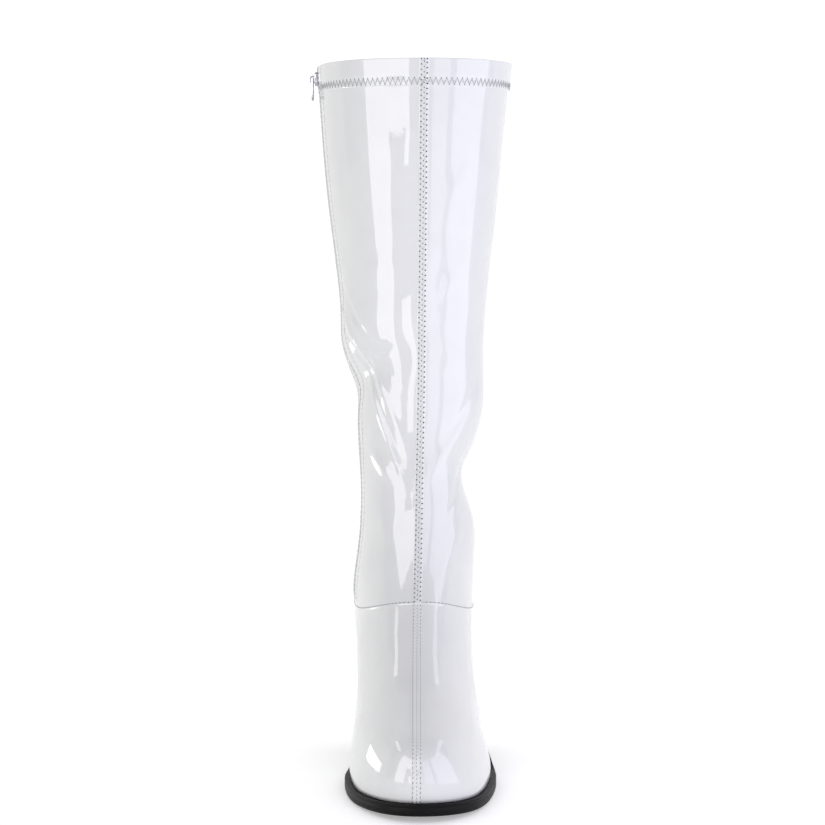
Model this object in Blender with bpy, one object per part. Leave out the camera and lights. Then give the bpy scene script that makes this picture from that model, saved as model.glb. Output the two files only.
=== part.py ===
"""Go go boot, left foot: patent upper, black outsole, covered block heel, inner-side zip.

Blender 4.5 script, metres, +Z up, toe towards -Y, lateral side towards +X. The boot stands on
z = 0 under the centre of its own box. While it is worked out, a point is (x, s, z), where s is
the distance behind the toe tip of the outsole.
"""
import math

import bmesh
import bpy
import numpy as np
from mathutils import Matrix, Vector

# Main sizes of the boot
LENGTH = 0.236            # outsole toe tip to heel back, level
BALL_WIDTH = 0.0796       # across the upper at the ball
HEEL_HEIGHT = 0.076       # floor to the heel seat at its back
SHAFT_RISE = 0.340        # heel seat to the top line at the back
TOE_HEIGHT = 0.036        # sole's top to the top of the toe box
TOP_WIDTH = 0.117         # across the collar
TOP_DEPTH = 0.1155        # collar, front to back
WALL = 0.0017             # patent, lining and backing together

# Sole and heel
SOLE_THICKNESS = 0.0065   # forepart
WAIST_THICKNESS = 0.0042  # outsole at the heel breast
TOE_SPRING = 0.0035
TREAD_START = 0.25        # share of LENGTH where the flat tread begins
TREAD_END = 0.39          # share of LENGTH where it ends
ARCH_CURVE = (5.17, -6.59, 2.42)  # arch over the heel pitch: t^2 (a + b t + c t^2), sum 1
SOLE_EDGE = 0.0032        # how far the forepart stands proud of the upper
WAIST_EDGE = 0.0012       # the same at the heel breast
EDGE_END = 0.62           # share of LENGTH where the sole's edge has drawn in to the waist's
EDGE_ROUND = 0.0008       # chamfer on the sole's edges
HEEL_BREAST = 0.765       # share of LENGTH where the heel begins
HEEL_EDGE = 0.0006        # how far the heel stands proud of the upper
HEEL_TAPER = 0.88         # foot of the heel block over its top
HEEL_PITCH = 0.0030       # how far the heel's foot is set forward
HEEL_FLARE = 0.3          # share of the taper that is eased in towards foot and seat
LIFT_THICKNESS = 0.006
INSOLE_THICKNESS = 0.0028
INSOLE_GAP = 0.0009       # between the sock's edge and the upper's lining

# Seams, band and zip
BAND_HEIGHT = 0.0155      # turned top band
BAND_STEP = 0.0005
LAP_STEP = 0.0005         # shaft lapped over the vamp at the cross seam
SEAM_WIDTH = 0.0036       # centre-front seam
SEAM_STEP = 0.0005
STEP_RUN = 0.0006         # width over which a step rises
LAP_RUN = 0.03            # half the run of the cross seam's step, in sections
ZIP_WIDTH = 0.0068        # gap between the two zip edges
ZIP_DEPTH = 0.0015
ZIP_BOTTOM = 10.4         # section where the zip ends, just above the cross seam
CHAIN_THICKNESS = 0.0012
CHAIN_INSET = 0.0010      # chain's ends inside the groove's
SLIDER_DROP = 0.0075      # top line to the middle of the slider
SLIDER_LENGTH = 0.0080
SLIDER_WIDTH = 0.0066
SLIDER_HEIGHT = 0.0024
SHIELD = ((0.62, -1.0), (1.0, -0.3), (1.0, 0.75), (0.7, 1.0))  # half outline, in halves of its size
BAIL_WIDTH = 0.0022
BAIL_THICKNESS = 0.0010
PULL_LENGTH = 0.0135
PULL_WIDTH = 0.0064
PULL_THICKNESS = 0.0013
PULL_RIM = 0.0014
EYE_SLOT = 0.9            # straight run of the pull's eye over its radius
CLEARANCE = 0.0003        # between pieces that meet
PIVOT_CLEARANCE = 0.0004  # around the pull's bar

# Resolution of the faceted solids
LATERAL_STEPS = 29        # columns from the front seam round the back to the zip
MEDIAL_STEPS = 9          # columns from the zip to the front seam
OUTLINE_STEPS = 40
HEEL_STEPS = 5
ARC_STEPS = 12
ROW_GAP = 0.15            # least distance between two rows, in sections
SLOPE_STEP = 1e-3         # parameter step from which slopes are read

# Exponents of the rounded ovals
FOOT_OVAL = 2.1
LEG_OVAL = 2.04

# Sections of the upper from the feather edge (0) to the top line (20).
# front, back: places as shares of LENGTH. deep_f, deep_b: shares of TOP_DEPTH, off those places.
# toe, pitch, rise: front height as shares of TOE_HEIGHT, heel pitch and SHAFT_RISE.
# up: back height above the heel seat, share of SHAFT_RISE.
# ball, leg: half widths as shares of BALL_WIDTH and TOP_WIDTH, medial then lateral.
# foot: how far the waist keeps the footprint's curve. heel: how far the heel keeps its fullness.
# sole: how far the section follows the sole's line. dip: drop at mid length, share of TOE_HEIGHT.
SECTIONS_HEAD = ("front", "deep_f", "back", "deep_b", "toe", "pitch", "rise", "up",
                 "ball_m", "leg_m", "ball_l", "leg_l", "foot", "heel", "sole", "dip")
SECTIONS = (
    (0.014, 0, 0.987, 0, 0.00, 0.05, 0.000, 0.000, 0.490, 0, 0.490, 0, 1.00, 1.00, 1.00, 0.00),
    (0.008, 0, 0.994, 0, 0.16, 0.05, 0.000, 0.011, 0.496, 0, 0.496, 0, 0.90, 1.10, 1.00, 0.00),
    (0.009, 0, 0.999, 0, 0.36, 0.05, 0.000, 0.022, 0.494, 0, 0.492, 0, 0.74, 1.22, 0.98, 0.00),
    (0.023, 0, 1.003, 0, 0.58, 0.05, 0.000, 0.032, 0.482, 0, 0.476, 0, 0.56, 1.32, 0.94, 0.00),
    (0.051, 0, 1.005, 0, 0.77, 0.05, 0.000, 0.041, 0.468, 0, 0.460, 0, 0.40, 1.38, 0.88, 0.00),
    (0.102, 0, 1.007, 0, 0.93, 0.05, 0.000, 0.049, 0.456, 0, 0.450, 0, 0.28, 1.38, 0.80, 0.05),
    (0.178, 0, 1.007, 0, 1.04, 0.08, 0.000, 0.056, 0.450, 0, 0.444, 0, 0.20, 1.30, 0.70, 0.12),
    (0.254, 0, 1.006, 0, 1.11, 0.14, 0.000, 0.063, 0.448, 0, 0.442, 0, 0.14, 1.12, 0.60, 0.19),
    (0.330, 0, 1.005, 0, 1.18, 0.25, 0.000, 0.070, 0.446, 0, 0.442, 0, 0.10, 0.92, 0.48, 0.27),
    (0.407, 0, 1.004, 0, 1.23, 0.42, 0.000, 0.078, 0.444, 0, 0.444, 0, 0.07, 0.70, 0.33, 0.36),
    (0.487, 0, 1.002, 0, 1.25, 0.62, 0.010, 0.090, 0.442, 0, 0.446, 0, 0.05, 0.50, 0.16, 0.43),
    (0.542, 0, 0.997, 0, 1.25, 0.76, 0.037, 0.119, 0.440, 0, 0.448, 0, 0.02, 0.32, 0.05, 0.33),
    (0.587, 0, 0.983, 0, 1.25, 0.87, 0.088, 0.171, 0.404, 0, 0.446, 0, 0.00, 0.16, 0.00, 0.14),
    (0.788, 0.359, 0.788, 0.359, 1.25, 0.94, 0.163, 0.242, 0, 0.276, 0, 0.277, 0, 0.04, 0, 0),
    (0.788, 0.346, 0.788, 0.346, 1.25, 0.97, 0.240, 0.324, 0, 0.289, 0, 0.320, 0, 0.00, 0, 0),
    (0.788, 0.359, 0.788, 0.372, 1.25, 1.00, 0.321, 0.424, 0, 0.314, 0, 0.348, 0, 0.00, 0, 0),
    (0.788, 0.389, 0.788, 0.420, 1.25, 1.00, 0.424, 0.536, 0, 0.366, 0, 0.364, 0, 0.00, 0, 0),
    (0.788, 0.420, 0.788, 0.468, 1.25, 1.00, 0.527, 0.655, 0, 0.408, 0, 0.394, 0, 0.00, 0, 0),
    (0.788, 0.450, 0.788, 0.498, 1.25, 1.00, 0.632, 0.768, 0, 0.448, 0, 0.430, 0, 0.00, 0, 0),
    (0.788, 0.476, 0.788, 0.507, 1.25, 1.00, 0.746, 0.884, 0, 0.478, 0, 0.460, 0, 0.00, 0, -0.03),
    (0.788, 0.498, 0.788, 0.502, 1.25, 1.00, 0.862, 1.000, 0, 0.500, 0, 0.500, 0, 0.00, 0, -0.05),
)
CROSS_SEAM = 10.0         # section that the cross seam follows
TOP = len(SECTIONS) - 1.0

# Footprint of the upper at the feather edge, as multiples of an oval of half the ball's width:
# medial and lateral half widths off the line from toe to heel, and the heel's fullness.
# place is a share of LENGTH.
FOOTPRINT_HEAD = ("place", "medial", "lateral", "heel")
FOOTPRINT = (
    (0.000, 1.10, 1.26, 1.00),
    (0.086, 1.07, 1.23, 1.00),
    (0.160, 1.08, 1.18, 1.00),
    (0.250, 1.05, 1.14, 1.00),
    (0.340, 1.00, 1.12, 1.00),
    (0.415, 0.91, 1.08, 1.00),
    (0.508, 0.75, 1.00, 1.00),
    (0.614, 0.66, 0.91, 1.00),
    (0.700, 0.69, 0.89, 1.02),
    (0.784, 0.80, 0.92, 1.08),
    (0.869, 0.94, 0.99, 1.17),
    (0.940, 1.01, 1.01, 1.29),
    (1.010, 1.01, 1.00, 1.42),
)

# Sideways place of the front and back of a section and of the front seam off that front, as
# shares of BALL_WIDTH.
SWAY_HEAD = ("section", "front", "back", "seam")
SWAY = (
    (0.0, -0.006, -0.063, -0.024),
    (4.0, -0.010, -0.066, -0.016),
    (10.0, -0.019, -0.073, 0.000),
    (13.0, 0.000, -0.082, 0.000),
    (20.0, 0.033, -0.108, 0.000),
)

# Main folds of the shaft. height is a share of SHAFT_RISE above the heel seat, side the angle
# round from the front in degrees (medial negative), depth, tall and slant shares of TOP_WIDTH,
# round the half angle in degrees. A positive depth is a ridge.
FOLDS_HEAD = ("height", "side", "depth", "tall", "round", "slant")
FOLDS = (
    (0.515, -82.0, 0.028, 0.150, 42.0, 0.10),
    (0.440, -68.0, -0.030, 0.110, 40.0, 0.14),
    (0.400, 78.0, 0.016, 0.170, 40.0, 0.00),
    (0.268, 92.0, -0.036, 0.120, 42.0, -0.06),
    (0.175, 84.0, 0.012, 0.130, 36.0, 0.00),
    (0.245, -150.0, -0.016, 0.120, 40.0, 0.00),
)


def spline(places, values, at):
    """Natural cubic spline through (places, values), read at `at`; straight outside its ends."""
    places = np.asarray(places, float)
    values = np.asarray(values, float)
    at = np.asarray(at, float)
    count = len(places)
    step = np.diff(places)
    slope = np.diff(values) / step
    system = np.eye(count)
    right = np.zeros(count)
    for i in range(1, count - 1):
        system[i, i - 1:i + 2] = (step[i - 1], 2 * (step[i - 1] + step[i]), step[i])
        right[i] = 6 * (slope[i] - slope[i - 1])
    bend = np.linalg.solve(system, right)
    inside = np.clip(at, places[0], places[-1])
    k = np.clip(np.searchsorted(places, inside) - 1, 0, count - 2)
    h = step[k]
    a = (places[k + 1] - inside) / h
    b = 1 - a
    result = a * values[k] + b * values[k + 1]
    result += ((a ** 3 - a) * bend[k] + (b ** 3 - b) * bend[k + 1]) * h * h / 6
    first = slope[0] - step[0] * bend[1] / 6
    last = slope[-1] + step[-1] * bend[-2] / 6
    return result + (at - inside) * np.where(at < places[0], first, last)


def column(table, head, name):
    """One named column of a table."""
    return [row[head.index(name)] for row in table]


def section(name, t):
    """A column of SECTIONS at section number t."""
    return spline(range(len(SECTIONS)), column(SECTIONS, SECTIONS_HEAD, name), t)


def sway(name, t):
    """A column of SWAY at section number t, in metres."""
    return BALL_WIDTH * spline(column(SWAY, SWAY_HEAD, "section"), column(SWAY, SWAY_HEAD, name), t)


def pitch():
    """Height of the heel seat above the forepart's top."""
    return HEEL_HEIGHT - SOLE_THICKNESS


def feather(s):
    """Height of the line where upper and sole meet: toe spring, flat tread, arch and heel seat.

    The arch is the polynomial of ARCH_CURVE times the heel pitch, with t from the tread's end to
    the heel's back.
    """
    start = TREAD_START * LENGTH
    end = TREAD_END * LENGTH
    spring = TOE_SPRING * np.clip((start - s) / start, 0, None) ** 2
    t = np.clip((s - end) / (LENGTH - end), 0, None)
    arch = t * t * (ARCH_CURVE[0] + ARCH_CURVE[1] * t + ARCH_CURVE[2] * t * t)
    return SOLE_THICKNESS + spring + pitch() * arch


def sole_thickness(s):
    """Outsole thickness: full to the tread's end, then an even fall to the waist's."""
    end = TREAD_END * LENGTH
    t = np.clip((s - end) / (HEEL_BREAST * LENGTH - end), 0, 1)
    return SOLE_THICKNESS + (WAIST_THICKNESS - SOLE_THICKNESS) * t * t * (3 - 2 * t)


def upper_form(t, angle):
    """Smooth outer surface of the upper at section t and angle round from the front, radians.

    A section is an oval |a|^p + |b|^p = 1 laid along the line from its front to its back point.
    Its half width is multiplied by the footprint, and its height follows the sole's line, both
    fading with height, and drops by half a sine wave at mid length. Positive angles are lateral.
    """
    t, angle = np.broadcast_arrays(np.asarray(t, float), np.asarray(angle, float))
    front = section("front", t) * LENGTH - section("deep_f", t) * TOP_DEPTH
    back = section("back", t) * LENGTH + section("deep_b", t) * TOP_DEPTH
    low = SOLE_THICKNESS + section("toe", t) * TOE_HEIGHT + section("pitch", t) * pitch()
    front_z = low + section("rise", t) * SHAFT_RISE
    back_z = HEEL_HEIGHT + section("up", t) * SHAFT_RISE
    foot = section("foot", t)
    power = LEG_OVAL + (FOOT_OVAL - LEG_OVAL) * foot
    c = np.cos(angle)
    d = np.sin(angle)
    size = (np.abs(c) ** power + np.abs(d) ** power) ** (1 / power)
    along = (1 - c / size) / 2
    s = front + (back - front) * along
    share = s / LENGTH
    places = column(FOOTPRINT, FOOTPRINT_HEAD, "place")
    medial = spline(places, column(FOOTPRINT, FOOTPRINT_HEAD, "medial"), share)
    lateral = spline(places, column(FOOTPRINT, FOOTPRINT_HEAD, "lateral"), share)
    half_m = section("ball_m", t) * BALL_WIDTH + section("leg_m", t) * TOP_WIDTH
    half_l = section("ball_l", t) * BALL_WIDTH + section("leg_l", t) * TOP_WIDTH
    full = spline(places, column(FOOTPRINT, FOOTPRINT_HEAD, "heel"), share)
    half = np.where(d < 0, half_m * (1 + foot * (medial - 1)), half_l * (1 + foot * (lateral - 1)))
    half = half * (1 + section("heel", t) * (full - 1))
    x = sway("front", t) + (sway("back", t) - sway("front", t)) * along + half * d / size
    chord = feather(front) + (feather(back) - feather(front)) * along
    z = front_z + (back_z - front_z) * along + section("sole", t) * (feather(s) - chord)
    z = z - section("dip", t) * TOE_HEIGHT * np.sin(math.pi * along)
    return np.stack([x, s, z], axis=-1)


def outward(surface, t, angle):
    """Unit normal of a surface function, from its two parameter directions."""
    along = surface(t, angle + SLOPE_STEP) - surface(t, angle - SLOPE_STEP)
    up = surface(t + SLOPE_STEP, angle) - surface(t - SLOPE_STEP, angle)
    normal = np.cross(along, up)
    return normal / np.linalg.norm(normal, axis=-1, keepdims=True)


def folds(t, angle, height):
    """Sum of the soft ridges and troughs of FOLDS, in metres."""
    total = np.zeros(np.shape(height))
    for row in FOLDS:
        fold = dict(zip(FOLDS_HEAD, row))
        turn = (angle - math.radians(fold["side"]) + math.pi) % (2 * math.pi) - math.pi
        lean = fold["slant"] * TOP_WIDTH * turn
        rise = (height - HEEL_HEIGHT - fold["height"] * SHAFT_RISE - lean) / (fold["tall"] * TOP_WIDTH)
        round_ = turn / math.radians(fold["round"])
        total = total + fold["depth"] * TOP_WIDTH * np.exp(-rise ** 2 - round_ ** 2)
    return total


def upper_surface(t, angle):
    """The upper's form with its main folds."""
    point = upper_form(t, angle)
    normal = outward(upper_form, np.asarray(t, float), np.asarray(angle, float))
    return point + normal * folds(t, angle, point[..., 2])[..., None]


def arc_speed(t, angle):
    """Metres of arc for one radian at a place on a section."""
    ahead = upper_form(t, angle + SLOPE_STEP)
    behind = upper_form(t, angle - SLOPE_STEP)
    return np.linalg.norm(ahead - behind, axis=-1) / (2 * SLOPE_STEP)


def section_numbers():
    """Section numbers of the upper's rows, doubled where the cross seam and band step."""
    fine = np.linspace(TOP - 2, TOP, 200)
    height = upper_form(fine, math.pi)[:, 2]
    band = np.interp(height[-1] - BAND_HEIGHT, height, fine)
    below = np.interp(height[-1] - BAND_HEIGHT - STEP_RUN, height, fine)
    foot = np.concatenate([[0.0, 0.5], np.arange(1.0, CROSS_SEAM)])
    lap = [CROSS_SEAM - LAP_RUN, CROSS_SEAM + LAP_RUN]
    shaft = np.arange(CROSS_SEAM + 0.5, below - ROW_GAP, 0.5)
    return np.concatenate([foot, lap, shaft, [below, band, TOP]])


def column_angles(t):
    """Angles of the upper's columns on section t, with the seam's and zip's edges at true sizes."""
    seam = sway("seam", t) / arc_speed(t, 0.0)
    seam_edge = (SEAM_WIDTH / 2) / arc_speed(t, 0.0)
    seam_foot = (SEAM_WIDTH / 2 + STEP_RUN) / arc_speed(t, 0.0)
    side = -math.pi / 2
    zip_edge = (ZIP_WIDTH / 2) / arc_speed(t, side)
    zip_rim = (ZIP_WIDTH / 2 + STEP_RUN) / arc_speed(t, side)
    lateral = np.linspace(seam + seam_foot, side + 2 * math.pi - zip_rim, LATERAL_STEPS)
    medial = np.linspace(side + zip_rim, seam - seam_foot, MEDIAL_STEPS)
    zip_floor = [side - zip_edge, side + zip_edge]
    return np.concatenate([[seam - seam_edge, seam + seam_edge], lateral, zip_floor, medial])


def upper_relief(rows, count):
    """Heights of the raised seam, cross seam's lap, band and zip groove over the smooth wall."""
    relief = np.zeros((len(rows), count))
    inner = np.zeros((len(rows), count))
    relief[rows > CROSS_SEAM] += LAP_STEP
    relief[-2:] += BAND_STEP
    relief[:, 0:2] += SEAM_STEP
    floor = slice(2 + LATERAL_STEPS, 4 + LATERAL_STEPS)
    rims = slice(1 + LATERAL_STEPS, 5 + LATERAL_STEPS)
    zipped = rows >= ZIP_BOTTOM
    relief[zipped, floor] = -ZIP_DEPTH
    inner[zipped, rims] = ZIP_DEPTH
    return relief, inner


def mesh_object(name, points, faces, material):
    """An object whose mesh holds these points, with y measured from the toe tip."""
    mesh = bpy.data.meshes.new(name)
    mesh.from_pydata([tuple(map(float, p)) for p in points], [], faces)
    mesh.validate()
    body = bmesh.new()
    body.from_mesh(mesh)
    bmesh.ops.recalc_face_normals(body, faces=body.faces)
    body.to_mesh(mesh)
    body.free()
    mesh.shade_smooth()
    mesh.set_sharp_from_angle(angle=math.radians(40))
    mesh.materials.append(material)
    obj = bpy.data.objects.new(name, mesh)
    bpy.context.collection.objects.link(obj)
    return obj


def finish_material(name, colour, roughness, metallic=0.0, coat=0.0):
    """A Principled material of one finish."""
    material = bpy.data.materials.new(name)
    material.use_nodes = True
    shader = material.node_tree.nodes["Principled BSDF"]
    shader.inputs["Base Color"].default_value = (*colour, 1.0)
    shader.inputs["Roughness"].default_value = roughness
    shader.inputs["Metallic"].default_value = metallic
    shader.inputs["Coat Weight"].default_value = coat
    return material


def ring_faces(first, second, count):
    """Quads between two closed rows of points."""
    return [(first + i, first + (i + 1) % count, second + (i + 1) % count, second + i)
            for i in range(count)]


def make_upper(material):
    """Outer and inner walls on one grid, joined at the top line and at the feather edge."""
    rows = section_numbers()
    angles = np.stack([column_angles(t) for t in rows])
    count = angles.shape[1]
    t = np.repeat(rows[:, None], count, axis=1)
    point = upper_surface(t, angles)
    normal = outward(upper_surface, t, angles)
    relief, inner = upper_relief(rows, count)
    lift = np.zeros_like(point)
    lift[0, :, 2] = CLEARANCE
    outside = point + normal * relief[..., None] + lift
    inside = point - normal * (WALL + inner)[..., None] + lift
    inside[0, :, 2] = feather(inside[0, :, 1]) + CLEARANCE
    inside[-1, :, 2] = outside[-1, :, 2]
    points = np.concatenate([outside.reshape(-1, 3), inside.reshape(-1, 3)])
    faces = []
    half = len(rows) * count
    for r in range(len(rows) - 1):
        faces += ring_faces(r * count, (r + 1) * count, count)
        faces += ring_faces(half + (r + 1) * count, half + r * count, count)
    faces += ring_faces(half, 0, count)
    faces += ring_faces((len(rows) - 1) * count, half + (len(rows) - 1) * count, count)
    return mesh_object("upper", points, faces, material)


def foot_outline(angles, out):
    """Plan of the feather edge at these angles, moved outwards by `out`: an (n, 2) array."""
    edge = upper_form(0.0, angles)[:, :2]
    run = upper_form(0.0, angles + SLOPE_STEP)[:, :2] - upper_form(0.0, angles - SLOPE_STEP)[:, :2]
    run /= np.linalg.norm(run, axis=1, keepdims=True)
    side = np.stack([run[:, 1], -run[:, 0]], axis=1)
    return edge + side * np.asarray(out).reshape(-1, 1)


def angle_at(place, side):
    """Angle where the feather edge passes a distance behind the toe tip, on side -1 or +1."""
    angles = np.linspace(0, math.pi, 2000)
    s = upper_form(0.0, side * angles)[:, 1]
    return side * float(np.interp(place, s, angles))


def sole_edge(s):
    """How far the outsole stands proud: full at the forepart, little at the waist."""
    start = TREAD_END * LENGTH
    t = np.clip((s - start) / (EDGE_END * LENGTH - start), 0, 1)
    return SOLE_EDGE + (WAIST_EDGE - SOLE_EDGE) * t * t * (3 - 2 * t)


def shrunk(plan, by):
    """A plan whose edges are drawn in, scaled about its middle."""
    low = plan.min(axis=0)
    high = plan.max(axis=0)
    middle = (low + high) / 2
    return middle + (plan - middle) * (1 - 2 * by / (high - low))


def ladder(start, count, flip):
    """Quads across a loop whose points i and count-1-i face each other."""
    faces = []
    for i in range(count // 2 - 1):
        quad = (start + i, start + i + 1, start + count - 2 - i, start + count - 1 - i)
        faces.append(quad[::-1] if flip else quad)
    return faces


def stack(name, loops, material):
    """A solid of stacked loops with equal counts, closed by ladders at both ends."""
    count = len(loops[0])
    points = np.concatenate(loops)
    faces = ladder(0, count, False)
    for k in range(len(loops) - 1):
        faces += ring_faces(k * count, (k + 1) * count, count)
    faces += ladder((len(loops) - 1) * count, count, True)
    return mesh_object(name, points, faces, material)


def make_outsole(material):
    """Forepart and waist: the feather edge's plan moved outwards, ending at the heel breast."""
    breast = HEEL_BREAST * LENGTH
    angles = np.linspace(angle_at(breast, -1), angle_at(breast, 1), 2 * OUTLINE_STEPS)
    s = upper_form(0.0, angles)[:, 1]

    def loop(inset, height):
        plan = foot_outline(angles, sole_edge(s) - inset)
        plan[[0, -1], 1] = breast
        return np.column_stack([plan, height(plan[:, 1])])

    def underside(y):
        return feather(y) - sole_thickness(y)

    return stack("outsole", [
        loop(2 * EDGE_ROUND, underside),
        loop(0.0, lambda y: underside(y) + EDGE_ROUND),
        loop(0.0, lambda y: feather(y) - EDGE_ROUND),
        loop(EDGE_ROUND, feather),
    ], material)


def make_insole(material):
    """Insole board and sock, inside the upper and on the sole."""
    angles = np.linspace(-math.pi, math.pi, 2 * OUTLINE_STEPS + 1)[:-1]
    angles = angles + math.pi / (2 * OUTLINE_STEPS)
    plan = foot_outline(angles, np.full(len(angles), -(WALL + INSOLE_GAP)))
    low = np.column_stack([plan, feather(plan[:, 1]) + CLEARANCE])
    high = low + np.array([0, 0, INSOLE_THICKNESS])
    return stack("insole", [low, high], material)


def heel_plan(share):
    """Plan of the heel at a share of its height (0 foot, 1 seat), as an (n, 2) array."""
    breast = HEEL_BREAST * LENGTH + CLEARANCE
    first = angle_at(breast, 1)
    last = 2 * math.pi + angle_at(breast, -1)
    angles = np.linspace(first, last, OUTLINE_STEPS)
    top = foot_outline(angles, np.full(len(angles), HEEL_EDGE))
    top[[0, -1], 1] = breast
    middle = np.array([top[:, 0].mean(), (top[:, 1].min() + top[:, 1].max()) / 2])
    foot = middle + HEEL_TAPER * (top - middle) - np.array([0, HEEL_PITCH])
    eased = share * share * (3 - 2 * share)
    return foot + (top - foot) * (share + (eased - share) * HEEL_FLARE)


def make_heel(material):
    """Covered block heel: straight breast, round back, top cut to the heel seat."""
    low = LIFT_THICKNESS + CLEARANCE
    edge = EDGE_ROUND / (HEEL_HEIGHT - low)
    loops = []
    for share in np.concatenate([[0.0], np.linspace(edge, 1.0, HEEL_STEPS)]):
        plan = heel_plan(share)
        if share == 0.0:
            plan = shrunk(plan, EDGE_ROUND)
        seat = feather(plan[:, 1])
        loops.append(np.column_stack([plan, low + (seat - low) * share]))
    return stack("heel_block", loops, material)


def make_lift(material):
    """Top lift under the heel, with the plan of the heel's foot."""
    plan = heel_plan(0.0)
    inner = shrunk(plan, EDGE_ROUND)
    levels = ((inner, 0.0), (plan, EDGE_ROUND), (plan, LIFT_THICKNESS - EDGE_ROUND),
              (inner, LIFT_THICKNESS))
    loops = [np.column_stack([p, np.full(len(p), z)]) for p, z in levels]
    return stack("heel_top_lift", loops, material)


def make_chain(material):
    """Closed zip chain: a strip along the groove's floor."""
    side = -math.pi / 2
    rows = section_numbers()
    rows = rows[rows >= ZIP_BOTTOM]
    ends = rows[[0, -1]]
    climb = upper_form(ends + SLOPE_STEP, side) - upper_form(ends - SLOPE_STEP, side)
    inset = CHAIN_INSET * 2 * SLOPE_STEP / np.linalg.norm(climb, axis=-1)
    rows[0] += inset[0]
    rows[-1] -= inset[1]
    half = (ZIP_WIDTH / 2 - CLEARANCE) / arc_speed(rows, side)
    loops = []
    for across, depth in ((-1, 0), (1, 0), (1, 1), (-1, 1)):
        angles = side + across * half
        level = CLEARANCE - ZIP_DEPTH + depth * CHAIN_THICKNESS
        loops.append(upper_surface(rows, angles) + outward(upper_surface, rows, angles) * level)
    points = np.stack(loops, axis=1).reshape(-1, 3)
    faces = [(3, 2, 1, 0)]
    for r in range(len(rows) - 1):
        faces += ring_faces(4 * r, 4 * r + 4, 4)
    end = 4 * (len(rows) - 1)
    faces.append((end, end + 1, end + 2, end + 3))
    return mesh_object("zip_chain", points, faces, material)


def slider_frame():
    """Middle of the slider on the zip and its outward, upward and forward directions."""
    rows = np.linspace(TOP - 1, TOP, 200)
    line = upper_surface(rows, np.full(200, -math.pi / 2))
    place = np.interp(line[-1, 2] - SLIDER_DROP, line[:, 2], rows)
    here = upper_surface(np.array([place]), np.array([-math.pi / 2]))[0]
    normal = outward(upper_surface, np.array([place]), np.array([-math.pi / 2]))[0]
    above = upper_surface(np.array([place + SLOPE_STEP]), np.array([-math.pi / 2]))[0]
    up = Vector(above - here).normalized()
    out = Vector(normal)
    out = (out - up * out.dot(up)).normalized()
    forward = out.cross(up).normalized()
    return Vector(here), out, up, forward


def placed(origin, x_axis, y_axis, z_axis):
    """Matrix of a frame with these axes."""
    turn = Matrix((x_axis, y_axis, z_axis)).transposed().to_4x4()
    return Matrix.Translation(origin) @ turn


def flat_solid(name, outline, thickness, matrix, material):
    """An outline in the frame's x and y extruded along its z, centred on it."""
    count = len(outline)
    low = [matrix @ Vector((x, y, -thickness / 2)) for x, y in outline]
    high = [matrix @ Vector((x, y, thickness / 2)) for x, y in outline]
    faces = [tuple(range(count))[::-1], tuple(range(count, 2 * count))]
    faces += ring_faces(0, count, count)
    return mesh_object(name, low + high, faces, material)


def helper(obj, target, operation):
    """Join or cut a target with an object that then only guides it."""
    modifier = target.modifiers.new(operation.lower(), "BOOLEAN")
    modifier.operation = operation
    modifier.object = obj
    modifier.solver = "EXACT"
    obj.hide_render = True
    obj.display_type = "WIRE"


def arc(radius, start, end, middle=(0.0, 0.0)):
    """Points of a circular arc, angles in degrees."""
    angles = [math.radians(start + (end - start) * i / ARC_STEPS) for i in range(ARC_STEPS + 1)]
    return [(middle[0] + radius * math.cos(a), middle[1] + radius * math.sin(a)) for a in angles]


def bail_radii():
    """Inner and outer radius of the bail around the pull's bar."""
    inner = PULL_THICKNESS * math.sqrt(0.5) + PIVOT_CLEARANCE
    return inner, inner + BAIL_THICKNESS


def pivot_point():
    """Axis of the pull on the slider."""
    middle, out, _, _ = slider_frame()
    inner, _ = bail_radii()
    return middle + out * (CLEARANCE + SLIDER_HEIGHT + inner)


def make_slider(material):
    """Slider body, a flat shield, with the bail that holds the pull."""
    middle, out, up, forward = slider_frame()
    side = [(across * SLIDER_WIDTH / 2, along * SLIDER_LENGTH / 2) for across, along in SHIELD]
    shield = side + [(-across, along) for across, along in reversed(side)]
    frame = placed(middle + out * (CLEARANCE + SLIDER_HEIGHT / 2), forward, up, forward.cross(up))
    body = flat_solid("zip_slider", shield, SLIDER_HEIGHT, frame, material)
    inner, outer = bail_radii()
    sink = inner + SLIDER_HEIGHT / 3
    bail = [(-outer, -sink)] + arc(outer, 180, 0) + [(outer, -sink), (inner, -sink)]
    bail += arc(inner, 0, 180) + [(-inner, -sink)]
    ring = placed(pivot_point(), up, out, up.cross(out))
    joined = flat_solid("bail", bail, BAIL_WIDTH, ring, material)
    helper(joined, body, "UNION")
    return body


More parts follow.
